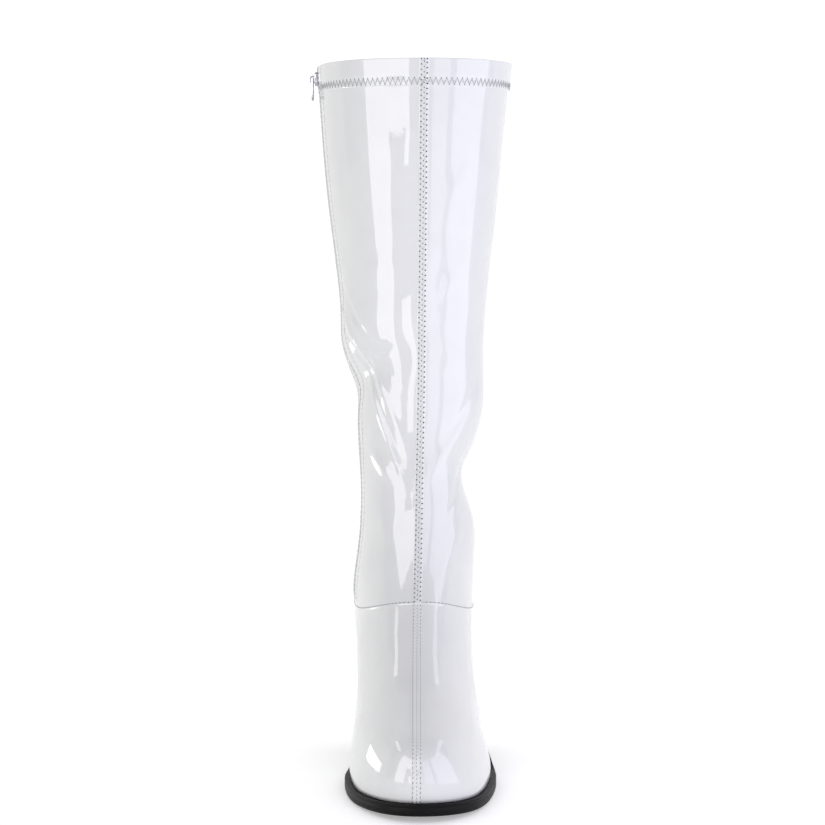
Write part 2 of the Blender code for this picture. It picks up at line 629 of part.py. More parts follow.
def make_pull(material):
    """Pull tab hanging from the bail: a plate with a window for the bail and a round eye."""
    pivot = pivot_point()
    _, outer = bail_radii()
    bar = PULL_THICKNESS / 2
    half = PULL_WIDTH / 2
    neck = BAIL_WIDTH / 2 + PIVOT_CLEARANCE + PULL_RIM
    tip = bar - PULL_LENGTH + half
    outline = [(neck, bar), (-neck, bar), (-neck, -outer - PULL_RIM)]
    outline += arc(half, 180, 360, (0.0, tip))
    outline.append((neck, -outer - PULL_RIM))
    across = Vector((0, 1, 0))
    frame = placed(pivot, across, Vector((0, 0, 1)), across.cross(Vector((0, 0, 1))))
    plate = flat_solid("zip_pull", outline, PULL_THICKNESS, frame, material)
    slot = BAIL_WIDTH / 2 + PIVOT_CLEARANCE
    reach = outer + PIVOT_CLEARANCE
    window = [(slot, -bar), (-slot, -bar), (-slot, -reach), (slot, -reach)]
    eye = half - PULL_RIM
    hole = arc(eye, 0, 180, (0.0, tip + eye * EYE_SLOT)) + arc(eye, 180, 360, (0.0, tip))
    for name, shape in (("window", window), ("eye", hole)):
        helper(flat_solid(name, shape, 3 * PULL_THICKNESS, frame, material), plate, "DIFFERENCE")
    plate.location = pivot
    plate.data.transform(Matrix.Translation(-pivot))
    return plate


def stand_on_centre():
    """Move every object so that the boot's box stands centred on the origin."""
    bpy.context.view_layer.update()
    graph = bpy.context.evaluated_depsgraph_get()
    low = np.full(3, np.inf)
    high = np.full(3, -np.inf)
    for obj in bpy.context.collection.objects:
        if obj.type == "MESH" and not obj.hide_render:
            seen = obj.evaluated_get(graph)
            points = np.array([obj.matrix_world @ v.co for v in seen.data.vertices])
            low = np.minimum(low, points.min(axis=0))
            high = np.maximum(high, points.max(axis=0))
    shift = Vector(((low[0] + high[0]) / -2, (low[1] + high[1]) / -2, -low[2]))
    for obj in bpy.context.collection.objects:
        if obj.parent is None:
            obj.location = obj.location + shift


def main():
    """Build the boot."""
    for obj in list(bpy.data.objects):
        bpy.data.objects.remove(obj, do_unlink=True)
    patent = finish_material("white_patent", (0.86, 0.87, 0.87), 0.08, coat=1.0)
    heel_cover = finish_material("heel_cover", (0.86, 0.87, 0.87), 0.10, coat=1.0)
    sole_rubber = finish_material("sole_rubber", (0.015, 0.015, 0.016), 0.45)
    lift_rubber = finish_material("lift_rubber", (0.02, 0.02, 0.02), 0.55)
    sock = finish_material("sock_lining", (0.72, 0.66, 0.55), 0.70)
    coil = finish_material("zip_coil", (0.80, 0.80, 0.78), 0.45)
    slider_metal = finish_material("slider_metal", (0.72, 0.72, 0.72), 0.22, metallic=1.0)
    pull_metal = finish_material("pull_metal", (0.76, 0.76, 0.76), 0.18, metallic=1.0)
    make_upper(patent)
    make_outsole(sole_rubber)
    make_heel(heel_cover)
    make_lift(lift_rubber)
    make_insole(sock)
    make_chain(coil)
    make_slider(slider_metal)
    make_pull(pull_metal)
    stand_on_centre()


if __name__ == "__main__":
    main()
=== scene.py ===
"""Looks of a left go go boot in white patent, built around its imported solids.

The file is laid out as a Blender add-on and runs as a script. A place on the upper is a pair
(t, angle): t is the section number from the feather edge (0) to the top line (20), and angle is
measured round from the front in radians, lateral positive. Lengths are metres, +Z up, toe -Y.
"""

import math

import bmesh
import bpy
import numpy as np
from bpy.props import FloatProperty, FloatVectorProperty, PointerProperty
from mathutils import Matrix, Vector


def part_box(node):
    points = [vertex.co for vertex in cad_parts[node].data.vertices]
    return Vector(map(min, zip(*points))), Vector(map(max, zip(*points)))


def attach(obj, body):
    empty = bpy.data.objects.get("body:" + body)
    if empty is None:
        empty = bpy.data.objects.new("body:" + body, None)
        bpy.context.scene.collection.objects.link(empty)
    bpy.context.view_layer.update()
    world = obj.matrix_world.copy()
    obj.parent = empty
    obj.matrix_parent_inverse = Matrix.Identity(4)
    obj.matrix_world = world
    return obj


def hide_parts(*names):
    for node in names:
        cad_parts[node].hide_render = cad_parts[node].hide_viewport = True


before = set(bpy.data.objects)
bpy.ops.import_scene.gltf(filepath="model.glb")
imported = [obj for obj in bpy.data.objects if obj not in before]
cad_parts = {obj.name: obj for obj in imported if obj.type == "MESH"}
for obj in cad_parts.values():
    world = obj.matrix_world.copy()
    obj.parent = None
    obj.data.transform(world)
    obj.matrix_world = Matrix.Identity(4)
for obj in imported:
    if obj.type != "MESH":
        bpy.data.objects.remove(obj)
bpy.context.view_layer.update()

bl_info = {
    "name": "Go go boot looks",
    "version": (1, 0, 0),
    "blender": (4, 5, 0),
    "location": "3D View > Sidebar > Boot",
    "description": "Fine surfaces, stitches and finishes of a patent go go boot",
    "category": "Object",
}

# Main sizes of the boot
LENGTH = 0.236            # outsole toe tip to heel back, level
BALL_WIDTH = 0.0796       # across the upper at the ball
HEEL_HEIGHT = 0.076       # floor to the heel seat at its back
SHAFT_RISE = 0.340        # heel seat to the top line at the back
TOE_HEIGHT = 0.036        # sole's top to the top of the toe box
TOP_WIDTH = 0.117         # across the collar
TOP_DEPTH = 0.1155        # collar, front to back
WALL = 0.0017             # patent, lining and backing together

# Sole and heel
SOLE_THICKNESS = 0.0065   # forepart
WAIST_THICKNESS = 0.0042  # outsole at the heel breast
TOE_SPRING = 0.0035
TREAD_START = 0.25        # share of LENGTH where the flat tread begins
TREAD_END = 0.39          # share of LENGTH where it ends
ARCH_CURVE = (5.17, -6.59, 2.42)  # arch over the heel pitch: t^2 (a + b t + c t^2), sum 1
SOLE_EDGE = 0.0032        # how far the forepart stands proud of the upper
WAIST_EDGE = 0.0012       # the same at the heel breast
EDGE_END = 0.62           # share of LENGTH where the sole's edge has drawn in to the waist's
EDGE_ROUND = 0.0008       # chamfer on the sole's edges
HEEL_BREAST = 0.765       # share of LENGTH where the heel begins
HEEL_EDGE = 0.0006        # how far the heel stands proud of the upper
HEEL_TAPER = 0.88         # foot of the heel block over its top
HEEL_PITCH = 0.0030       # how far the heel's foot is set forward
HEEL_FLARE = 0.3          # share of the taper that is eased in towards foot and seat
LIFT_THICKNESS = 0.006
INSOLE_THICKNESS = 0.0028
INSOLE_GAP = 0.0009       # between the sock's edge and the upper's lining

# Seams, band and zip
BAND_HEIGHT = 0.0155      # turned top band
BAND_STEP = 0.0005
SEAM_WIDTH = 0.0036       # centre-front seam
SEAM_STEP = 0.0005
STEP_RUN = 0.0006         # width over which a step rises
LAP_RUN = 0.03            # half the run of the cross seam's step, in sections
ZIP_WIDTH = 0.0068        # gap between the two zip edges
ZIP_DEPTH = 0.0015
ZIP_BOTTOM = 10.4         # section where the zip ends, just above the cross seam
ZIP_SIDE = -math.pi / 2   # angle of its middle, on the medial side
CLEARANCE = 0.0003        # between pieces that meet

# Exponents of the rounded ovals
FOOT_OVAL = 2.1
LEG_OVAL = 2.04

# Sections of the upper from the feather edge (0) to the top line (20).
# front, back: places as shares of LENGTH. deep_f, deep_b: shares of TOP_DEPTH, off those places.
# toe, pitch, rise: front height as shares of TOE_HEIGHT, heel pitch and SHAFT_RISE.
# up: back height above the heel seat, share of SHAFT_RISE.
# ball, leg: half widths as shares of BALL_WIDTH and TOP_WIDTH, medial then lateral.
# foot: how far the waist keeps the footprint's curve. heel: how far the heel keeps its fullness.
# sole: how far the section follows the sole's line. dip: drop at mid length, share of TOE_HEIGHT.
SECTIONS_HEAD = ("front", "deep_f", "back", "deep_b", "toe", "pitch", "rise", "up",
                 "ball_m", "leg_m", "ball_l", "leg_l", "foot", "heel", "sole", "dip")
SECTIONS = (
    (0.014, 0, 0.987, 0, 0.00, 0.05, 0.000, 0.000, 0.490, 0, 0.490, 0, 1.00, 1.00, 1.00, 0.00),
    (0.008, 0, 0.994, 0, 0.16, 0.05, 0.000, 0.011, 0.496, 0, 0.496, 0, 0.90, 1.10, 1.00, 0.00),
    (0.009, 0, 0.999, 0, 0.36, 0.05, 0.000, 0.022, 0.494, 0, 0.492, 0, 0.74, 1.22, 0.98, 0.00),
    (0.023, 0, 1.003, 0, 0.58, 0.05, 0.000, 0.032, 0.482, 0, 0.476, 0, 0.56, 1.32, 0.94, 0.00),
    (0.051, 0, 1.005, 0, 0.77, 0.05, 0.000, 0.041, 0.468, 0, 0.460, 0, 0.40, 1.38, 0.88, 0.00),
    (0.102, 0, 1.007, 0, 0.93, 0.05, 0.000, 0.049, 0.456, 0, 0.450, 0, 0.28, 1.38, 0.80, 0.05),
    (0.178, 0, 1.007, 0, 1.04, 0.08, 0.000, 0.056, 0.450, 0, 0.444, 0, 0.20, 1.30, 0.70, 0.12),
    (0.254, 0, 1.006, 0, 1.11, 0.14, 0.000, 0.063, 0.448, 0, 0.442, 0, 0.14, 1.12, 0.60, 0.19),
    (0.330, 0, 1.005, 0, 1.18, 0.25, 0.000, 0.070, 0.446, 0, 0.442, 0, 0.10, 0.92, 0.48, 0.27),
    (0.407, 0, 1.004, 0, 1.23, 0.42, 0.000, 0.078, 0.444, 0, 0.444, 0, 0.07, 0.70, 0.33, 0.36),
    (0.487, 0, 1.002, 0, 1.25, 0.62, 0.010, 0.090, 0.442, 0, 0.446, 0, 0.05, 0.50, 0.16, 0.43),
    (0.542, 0, 0.997, 0, 1.25, 0.76, 0.037, 0.119, 0.440, 0, 0.448, 0, 0.02, 0.32, 0.05, 0.33),
    (0.587, 0, 0.983, 0, 1.25, 0.87, 0.088, 0.171, 0.404, 0, 0.446, 0, 0.00, 0.16, 0.00, 0.14),
    (0.788, 0.359, 0.788, 0.359, 1.25, 0.94, 0.163, 0.242, 0, 0.276, 0, 0.277, 0, 0.04, 0, 0),
    (0.788, 0.346, 0.788, 0.346, 1.25, 0.97, 0.240, 0.324, 0, 0.289, 0, 0.320, 0, 0.00, 0, 0),
    (0.788, 0.359, 0.788, 0.372, 1.25, 1.00, 0.321, 0.424, 0, 0.314, 0, 0.348, 0, 0.00, 0, 0),
    (0.788, 0.389, 0.788, 0.420, 1.25, 1.00, 0.424, 0.536, 0, 0.366, 0, 0.364, 0, 0.00, 0, 0),
    (0.788, 0.420, 0.788, 0.468, 1.25, 1.00, 0.527, 0.655, 0, 0.408, 0, 0.394, 0, 0.00, 0, 0),
    (0.788, 0.450, 0.788, 0.498, 1.25, 1.00, 0.632, 0.768, 0, 0.448, 0, 0.430, 0, 0.00, 0, 0),
    (0.788, 0.476, 0.788, 0.507, 1.25, 1.00, 0.746, 0.884, 0, 0.478, 0, 0.460, 0, 0.00, 0, -0.03),
    (0.788, 0.498, 0.788, 0.502, 1.25, 1.00, 0.862, 1.000, 0, 0.500, 0, 0.500, 0, 0.00, 0, -0.05),
)
CROSS_SEAM = 10.0         # section that the cross seam follows
TOP = len(SECTIONS) - 1.0
SLOPE_STEP = 1e-3         # parameter step from which slopes are read

# Footprint of the upper at the feather edge, as multiples of an oval of half the ball's width:
# medial and lateral half widths off the line from toe to heel, and the heel's fullness.
# place is a share of LENGTH.
FOOTPRINT_HEAD = ("place", "medial", "lateral", "heel")
FOOTPRINT = (
    (0.000, 1.10, 1.26, 1.00),
    (0.086, 1.07, 1.23, 1.00),
    (0.160, 1.08, 1.18, 1.00),
    (0.250, 1.05, 1.14, 1.00),
    (0.340, 1.00, 1.12, 1.00),
    (0.415, 0.91, 1.08, 1.00),
    (0.508, 0.75, 1.00, 1.00),
    (0.614, 0.66, 0.91, 1.00),
    (0.700, 0.69, 0.89, 1.02),
    (0.784, 0.80, 0.92, 1.08),
    (0.869, 0.94, 0.99, 1.17),
    (0.940, 1.01, 1.01, 1.29),
    (1.010, 1.01, 1.00, 1.42),
)

# Sideways place of the front and back of a section and of the front seam off that front, as
# shares of BALL_WIDTH.
SWAY_HEAD = ("section", "front", "back", "seam")
SWAY = (
    (0.0, -0.006, -0.063, -0.024),
    (4.0, -0.010, -0.066, -0.016),
    (10.0, -0.019, -0.073, 0.000),
    (13.0, 0.000, -0.082, 0.000),
    (20.0, 0.033, -0.108, 0.000),
)

# Main folds of the shaft. height is a share of SHAFT_RISE above the heel seat, side the angle
# round from the front in degrees (medial negative), depth, tall and slant shares of TOP_WIDTH,
# round the half angle in degrees. A positive depth is a ridge.
FOLDS_HEAD = ("height", "side", "depth", "tall", "round", "slant")
FOLDS = (
    (0.515, -82.0, 0.028, 0.150, 42.0, 0.10),
    (0.440, -68.0, -0.030, 0.110, 40.0, 0.14),
    (0.400, 78.0, 0.016, 0.170, 40.0, 0.00),
    (0.268, 92.0, -0.036, 0.120, 42.0, -0.06),
    (0.175, 84.0, 0.012, 0.130, 36.0, 0.00),
    (0.245, -150.0, -0.016, 0.120, 40.0, 0.00),
)


def spline(places, values, at):
    """Natural cubic spline through (places, values), read at `at`; straight outside its ends."""
    places = np.asarray(places, float)
    values = np.asarray(values, float)
    at = np.asarray(at, float)
    count = len(places)
    step = np.diff(places)
    slope = np.diff(values) / step
    system = np.eye(count)
    right = np.zeros(count)
    for i in range(1, count - 1):
        system[i, i - 1:i + 2] = (step[i - 1], 2 * (step[i - 1] + step[i]), step[i])
        right[i] = 6 * (slope[i] - slope[i - 1])
    bend = np.linalg.solve(system, right)
    inside = np.clip(at, places[0], places[-1])
    k = np.clip(np.searchsorted(places, inside) - 1, 0, count - 2)
    h = step[k]
    a = (places[k + 1] - inside) / h
    b = 1 - a
    result = a * values[k] + b * values[k + 1]
    result += ((a ** 3 - a) * bend[k] + (b ** 3 - b) * bend[k + 1]) * h * h / 6
    first = slope[0] - step[0] * bend[1] / 6
    last = slope[-1] + step[-1] * bend[-2] / 6
    return result + (at - inside) * np.where(at < places[0], first, last)


def column(table, head, name):
    """One named column of a table."""
    return [row[head.index(name)] for row in table]


def section(name, t):
    """A column of SECTIONS at section number t."""
    return spline(range(len(SECTIONS)), column(SECTIONS, SECTIONS_HEAD, name), t)


def sway(name, t):
    """A column of SWAY at section number t, in metres."""
    return BALL_WIDTH * spline(column(SWAY, SWAY_HEAD, "section"), column(SWAY, SWAY_HEAD, name), t)


def smooth_step(value, start, end):
    """Rise from 0 at start to 1 at end along 3 t^2 - 2 t^3."""
    t = np.clip((value - start) / (end - start), 0, 1)
    return t * t * (3 - 2 * t)


def wrap(angle):
    """Angle brought between -pi and pi."""
    return (angle + math.pi) % (2 * math.pi) - math.pi


def pitch():
    """Height of the heel seat above the forepart's top."""
    return HEEL_HEIGHT - SOLE_THICKNESS


def feather(s):
    """Height of the line where upper and sole meet: toe spring, flat tread, arch and heel seat.

    The arch is the polynomial of ARCH_CURVE times the heel pitch, with t from the tread's end to
    the heel's back.
    """
    start = TREAD_START * LENGTH
    end = TREAD_END * LENGTH
    spring = TOE_SPRING * np.clip((start - s) / start, 0, None) ** 2
    t = np.clip((s - end) / (LENGTH - end), 0, None)
    arch = t * t * (ARCH_CURVE[0] + ARCH_CURVE[1] * t + ARCH_CURVE[2] * t * t)
    return SOLE_THICKNESS + spring + pitch() * arch


def sole_thickness(s):
    """Outsole thickness: full to the tread's end, then an even fall to the waist's."""
    fall = smooth_step(s, TREAD_END * LENGTH, HEEL_BREAST * LENGTH)
    return SOLE_THICKNESS + (WAIST_THICKNESS - SOLE_THICKNESS) * fall


def upper_form(t, angle):
    """Smooth outer surface of the upper at section t and angle round from the front, radians.

    A section is an oval |a|^p + |b|^p = 1 laid along the line from its front to its back point.
    Its half width is multiplied by the footprint, and its height follows the sole's line, both
    fading with height, and drops by half a sine wave at mid length. Positive angles are lateral.
    """
    t, angle = np.broadcast_arrays(np.asarray(t, float), np.asarray(angle, float))
    front = section("front", t) * LENGTH - section("deep_f", t) * TOP_DEPTH
    back = section("back", t) * LENGTH + section("deep_b", t) * TOP_DEPTH
    low = SOLE_THICKNESS + section("toe", t) * TOE_HEIGHT + section("pitch", t) * pitch()
    front_z = low + section("rise", t) * SHAFT_RISE
    back_z = HEEL_HEIGHT + section("up", t) * SHAFT_RISE
    foot = section("foot", t)
    power = LEG_OVAL + (FOOT_OVAL - LEG_OVAL) * foot
    c = np.cos(angle)
    d = np.sin(angle)
    size = (np.abs(c) ** power + np.abs(d) ** power) ** (1 / power)
    along = (1 - c / size) / 2
    s = front + (back - front) * along
    share = s / LENGTH
    places = column(FOOTPRINT, FOOTPRINT_HEAD, "place")
    medial = spline(places, column(FOOTPRINT, FOOTPRINT_HEAD, "medial"), share)
    lateral = spline(places, column(FOOTPRINT, FOOTPRINT_HEAD, "lateral"), share)
    half_m = section("ball_m", t) * BALL_WIDTH + section("leg_m", t) * TOP_WIDTH
    half_l = section("ball_l", t) * BALL_WIDTH + section("leg_l", t) * TOP_WIDTH
    full = spline(places, column(FOOTPRINT, FOOTPRINT_HEAD, "heel"), share)
    half = np.where(d < 0, half_m * (1 + foot * (medial - 1)), half_l * (1 + foot * (lateral - 1)))
    half = half * (1 + section("heel", t) * (full - 1))
    x = sway("front", t) + (sway("back", t) - sway("front", t)) * along + half * d / size
    chord = feather(front) + (feather(back) - feather(front)) * along
    z = front_z + (back_z - front_z) * along + section("sole", t) * (feather(s) - chord)
    z = z - section("dip", t) * TOE_HEIGHT * np.sin(math.pi * along)
    return np.stack([x, s, z], axis=-1)


def outward(surface, t, angle):
    """Unit normal of a surface function, from its two parameter directions."""
    along = surface(t, angle + SLOPE_STEP) - surface(t, angle - SLOPE_STEP)
    up = surface(t + SLOPE_STEP, angle) - surface(t - SLOPE_STEP, angle)
    normal = np.cross(along, up)
    return normal / np.linalg.norm(normal, axis=-1, keepdims=True)


def folds(rows, angle, height):
    """Sum of the soft ridges and troughs of a table like FOLDS, in metres.

    Each is its depth times exp(-rise^2 - around^2): the height over its leaning middle line as a
    share of its tallness, and the turn off its side as a share of its half angle.
    """
    total = np.zeros(np.shape(height))
    for row in rows:
        fold = dict(zip(FOLDS_HEAD, row))
        turn = wrap(angle - math.radians(fold["side"]))
        lean = fold["slant"] * TOP_WIDTH * turn
        rise = (height - HEEL_HEIGHT - fold["height"] * SHAFT_RISE - lean) / (fold["tall"] * TOP_WIDTH)
        around = turn / math.radians(fold["round"])
        total = total + fold["depth"] * TOP_WIDTH * np.exp(-rise ** 2 - around ** 2)
    return total


def upper_surface(t, angle):
    """The upper's form with its main folds."""
    point = upper_form(t, angle)
    normal = outward(upper_form, np.asarray(t, float), np.asarray(angle, float))
    return point + normal * folds(FOLDS, angle, point[..., 2])[..., None]


def arc_speed(t, angle):
    """Metres of arc for one radian at a place on a section."""
    ahead = upper_form(t, angle + SLOPE_STEP)
    behind = upper_form(t, angle - SLOPE_STEP)
    return np.linalg.norm(ahead - behind, axis=-1) / (2 * SLOPE_STEP)


# Fine sizes that only show close up
SHELL_ROWS = 300          # rows of the outer surface
LINING_ROWS = 50          # rows of the inner surface
SIDE_COLUMNS = 150        # columns from the front seam round the back to the zip
NEAR_COLUMNS = 62         # columns from the zip to the front seam
RIM_ROUND = 0.0005        # rounding of the top edge
LIP_HEIGHT = 0.0004       # rounded lips along the zip
LIP_WIDTH = 0.0016
GROOVE_DEPTH = 0.0004     # groove down the middle of the front seam
GROOVE_WIDTH = 0.0005
PUCKER_DEPTH = 0.00022    # dip along a stitched line
PUCKER_WIDTH = 0.0020
ZIGZAG_TOP = 0.0114       # top line to the zigzag's upper needle holes
ZIGZAG_FOOT = 0.0152      # top line to its lower ones
THREAD_RADIUS = 0.00021
HOLE_RADIUS = 0.00050
ZIGZAG_PITCH = 0.0032
SEAM_ROW = 0.00165        # needle rows off the middle of the front seam
SEAM_PITCH = 0.0030
TOE_ROW = 0.0021          # the same rows below the cross seam
TOE_PITCH = 0.0026
LAP_RISE = 0.00025        # how much of the lap shows on the stretched leather
LAP_ROW = 0.0012          # cross seam's stitches above its lap
LAP_PITCH = 0.0027
ZIP_ROWS = (0.0018, 0.0084)  # topstitch rows off the zip's edges
ZIP_PITCH = 0.0030        # topstitches along the zip
STITCH_GAP = 0.2          # share of the pitch left bare at each end of a running stitch
TAPE_WIDTH = 0.0062
TAPE_THICKNESS = 0.0004
COIL_PITCH = 0.0013
COIL_RADIUS = 0.00036
COIL_REACH = 0.0019       # a coil loop's outer bend off the zip's middle
COIL_CROSS = 0.0006       # how far a loop crosses the middle
SLIDER_ROUND = 0.0002     # rounding of the slider's edges
PULL_ROUND = 0.00018

# Shares of the fine sizes
GROOVE_FADE = 0.7         # of the front seam's groove, lost over the shaft
SEAM_COLUMN = 0.75        # of the front seam's half width, where a column of the shell runs
ZIP_COLUMN = 0.6          # of the zip's half width, the same
BAND_THREAD = 0.75        # of the thread's radius, in the zigzag
BAND_HOLE = 0.65          # of a needle hole's radius, in the zigzag
ROW_HOLE = 0.8            # the same in single rows
TOE_HOLE = 0.9            # the same beside the toe's seam
LATTICE_LIFT = 1.2        # arch of the shaft's seam stitches over the thread's radius
BAR_SINK = 0.5            # of a stitch's radius, sunk at its ends
BAR_TIP = 0.55            # radius of a stitch at its ends over that at its middle
HOLE_RISE = 0.30          # top of a needle hole's lens over its radius
HOLE_SINK = 0.60          # its underside
LATTICE_LEAN = 0.6        # of half a pitch, by which the right needle column runs ahead
MIDDLE_PITCH = 0.8        # of the toe rows' pitch, down the middle of the toe's seam
SEAM_PASS = 0.6           # of the front seam's width, left free on each side by the cross seam
COIL_BED = 0.8            # of the coil's radius, from the tape to the loops' middle
COIL_LIFT = 0.9           # of the coil's radius, the arch of a loop
STOP_SIZE = 1.6           # radius of the lower stop over the coil's
NEAR_VERTICAL = 0.9       # upward share of a normal from which a hole is turned another way

# Edges of sole, heel and rim
RIM_TURNS = (0.35, 0.75, 1.2)    # radians round the rim at which its rows lie
SIDE_GROOVE = ((0.66, 0.0), (0.70, 0.00022), (0.73, 0.00022), (0.77, 0.0))  # share of height, depth
HEEL_FOOT = ((4, 0.0), (1, 0.0), (0.3, 0.006))  # inset in EDGE_ROUND, share of the block's height
HEEL_START = 0.014        # share of the height where the block's full rows begin
BEVEL_ANGLE = 35          # degrees from which an edge of slider and pull is rounded
SOLE_SHARP = 45           # degrees from which the outsole's edges stay sharp
HEEL_SHARP = 50

# Places of stitches and zip, in sections
TOE_START = 0.15          # where the toe's seam rows begin
SEAM_CLEAR = 0.05         # left free on each side of the cross seam
TOP_CLEAR = 0.02          # left free under the top line by seam and tape
ROW_CLEAR = 0.03          # left free there by the zip's topstitches
COIL_CLEAR = 0.06         # left free there by the coil, and over the zip's end by the tape
COIL_START = 0.12         # first coil loop over the zip's end
STOP_PLACE = 0.10         # lower stop over the zip's end
ROW_START = 0.1           # how far the topstitches reach below the zip's end

# Counts of points
BAR_RINGS = 5             # rings of a stitch
BAR_SIDES = 6             # sides of a stitch
HOLE_SIDES = 8            # points round a needle hole
ROW_SAMPLES = 1500        # places at which a row's length is measured
ROUND_SAMPLES = 3000      # the same on rows round the boot
PLAN_SAMPLES = 4000       # the same on the sole's plan
SECTION_SAMPLES = 4001    # sections at which the front's length is measured
ROW_ANGLE = 0.35          # radians from the front where it is measured
DENSER = 4                # extra weight of rows at cross seam and band
TAPE_ROWS = 260
SOLE_CAPS = 40            # columns across the outsole's top and underside
SOCK_CAPS = 30
HEEL_CAPS = 20
SOLE_COLUMNS = 360
SOCK_COLUMNS = 280
HEEL_COLUMNS = 120
HEEL_ROWS = 40

# Fine creases of the leather, over the main folds: the columns of FOLDS.
CREASES = (
    (0.475, -52.0, 0.0095, 0.036, 26.0, -0.66),
    (0.535, -52.0, -0.0055, 0.030, 22.0, -0.55),
    (0.415, -46.0, -0.0070, 0.030, 22.0, -0.70),
    (0.350, -36.0, 0.0070, 0.034, 18.0, -0.70),
    (0.290, -42.0, 0.0060, 0.036, 14.0, -0.30),
    (0.300, -22.0, -0.0040, 0.050, 9.0, 0.20),
    (0.480, -14.0, -0.0030, 0.120, 7.0, 0.00),
    (0.820, -16.0, 0.0016, 0.110, 7.0, 0.00),
    (0.640, -32.0, 0.0030, 0.060, 8.0, 0.30),
    (0.600, -66.0, 0.0030, 0.120, 10.0, -0.60),
    (0.700, -9.0, -0.0020, 0.240, 6.0, 0.00),
    (0.600, 14.0, -0.0040, 0.160, 6.0, 0.00),
    (0.780, 24.0, 0.0034, 0.080, 7.0, 0.40),
    (0.680, 26.0, -0.0038, 0.055, 7.0, -0.40),
    (0.610, 22.0, 0.0030, 0.045, 7.0, 0.40),
    (0.560, 42.0, 0.0040, 0.100, 9.0, 0.30),
    (0.480, 26.0, 0.0034, 0.060, 8.0, -0.40),
    (0.400, 44.0, -0.0060, 0.050, 16.0, 0.50),
    (0.320, 28.0, 0.0080, 0.070, 24.0, 0.35),
    (0.250, 44.0, -0.0060, 0.045, 20.0, 0.50),
    (0.180, -34.0, 0.0060, 0.080, 16.0, -0.30),
    (0.150, 34.0, 0.0040, 0.060, 16.0, 0.50),
    (0.080, 24.0, 0.0040, 0.110, 14.0, 0.20),
)

# Light panels round the boot. turn, width, low and high: degrees as the boot sees them.
PANELS_HEAD = ("name", "turn", "width", "low", "high", "glow", "tint")
PANELS = (
    ("left_band", -56.5, 27.0, -22.0, 40.0, 3.8, (1.00, 0.98, 0.99)),
    ("left_inner", -29.5, 27.0, 10.0, 40.0, 3.8, (1.00, 0.98, 0.99)),
    ("left_spike", -18.0, 5.0, 5.0, 10.0, 3.8, (1.00, 0.98, 0.99)),
    ("left_lower", -23.0, 14.0, -22.0, -7.0, 3.8, (1.00, 0.98, 0.99)),
    ("left_low", -118.0, 24.0, -20.0, -12.0, 3.8, (1.00, 0.98, 0.99)),
    ("left_vamp", -108.0, 32.0, 34.0, 42.0, 3.0, (1.00, 0.98, 0.99)),
    ("right_inner", 22.5, 21.0, -22.0, 40.0, 1.9, (0.90, 0.89, 1.00)),
    ("right_outer", 66.5, 50.0, -22.0, 40.0, 2.2, (0.88, 0.87, 1.00)),
    ("right_vamp", 104.0, 54.0, 37.0, 48.0, 1.8, (0.90, 0.89, 1.00)),
)
PANEL_DISTANCE = 0.62     # radius of the cylinder on which they stand
PANEL_CENTRE = (0.0, 0.0, 0.25)

# Floor and backdrop
FLOOR_REACH = 12.0        # how far it runs to the front and to each side
BACKDROP_START = 1.6      # where it begins to curve up, behind the boot
BACKDROP_ROUND = 0.8
BACKDROP_HEIGHT = 4.0

# Soft lights kept out of the reflections. size: metres, spread: degrees.
SOFT_HEAD = ("name", "place", "target", "size", "tint", "spread")
SOFT_LIGHTS = (
    ("right_key", (0.9, -1.3, 0.5), (0, 0, 0.15), 1.2, (0.64, 0.62, 1.0), 180.0),
    ("foot_fill", (-0.15, -0.95, 0.12), (0, -0.05, 0.06), 0.4, (1.0, 1.0, 1.0), 70.0),
)

# Camera, found from the curve of the sole, the arch of the top line and the widths
CAMERA_PLACE = (0.0011, -1.0855, 0.2557)
CAMERA_PITCH = 2.48       # degrees below level
CAMERA_LENS = 81.7        # mm on a 36 mm sensor
SENSOR = 36.0


def foot_outline(angles, out):
    """Plan of the feather edge at these angles, moved outwards by `out`: an (n, 2) array."""
    edge = upper_form(0.0, angles)[:, :2]
    run = upper_form(0.0, angles + SLOPE_STEP)[:, :2] - upper_form(0.0, angles - SLOPE_STEP)[:, :2]
    run /= np.linalg.norm(run, axis=1, keepdims=True)
    side = np.stack([run[:, 1], -run[:, 0]], axis=1)
    return edge + side * np.asarray(out).reshape(-1, 1)


def angle_at(place, side):
    """Angle where the feather edge passes a distance behind the toe tip, on side -1 or +1."""
    angles = np.linspace(0, math.pi, PLAN_SAMPLES)
    s = upper_form(0.0, side * angles)[:, 1]
    return side * float(np.interp(place, s, angles))


def sole_edge(s):
    """How far the outsole stands proud: full at the forepart, little at the waist."""
    fall = smooth_step(s, TREAD_END * LENGTH, EDGE_END * LENGTH)
    return SOLE_EDGE + (WAIST_EDGE - SOLE_EDGE) * fall


def boot_place():
    """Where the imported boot's toe tip stands: the outsole's box against its worked-out plan."""
    breast = HEEL_BREAST * LENGTH
    angles = np.linspace(angle_at(breast, -1), angle_at(breast, 1), PLAN_SAMPLES)
    plan = foot_outline(angles, sole_edge(upper_form(0.0, angles)[:, 1]))
    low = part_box("outsole")[0]
    return np.array([low.x - plan[:, 0].min(), low.y - plan[:, 1].min(), 0.0])


PLACE = boot_place()


def seam_angle(t):
    """Angle of the front seam on section t."""
    return sway("seam", t) / arc_speed(t, 0.0)


def top_drop(t, angle):
    """Height of the top line over a place."""
    return upper_form(TOP, angle)[..., 2] - upper_form(t, angle)[..., 2]


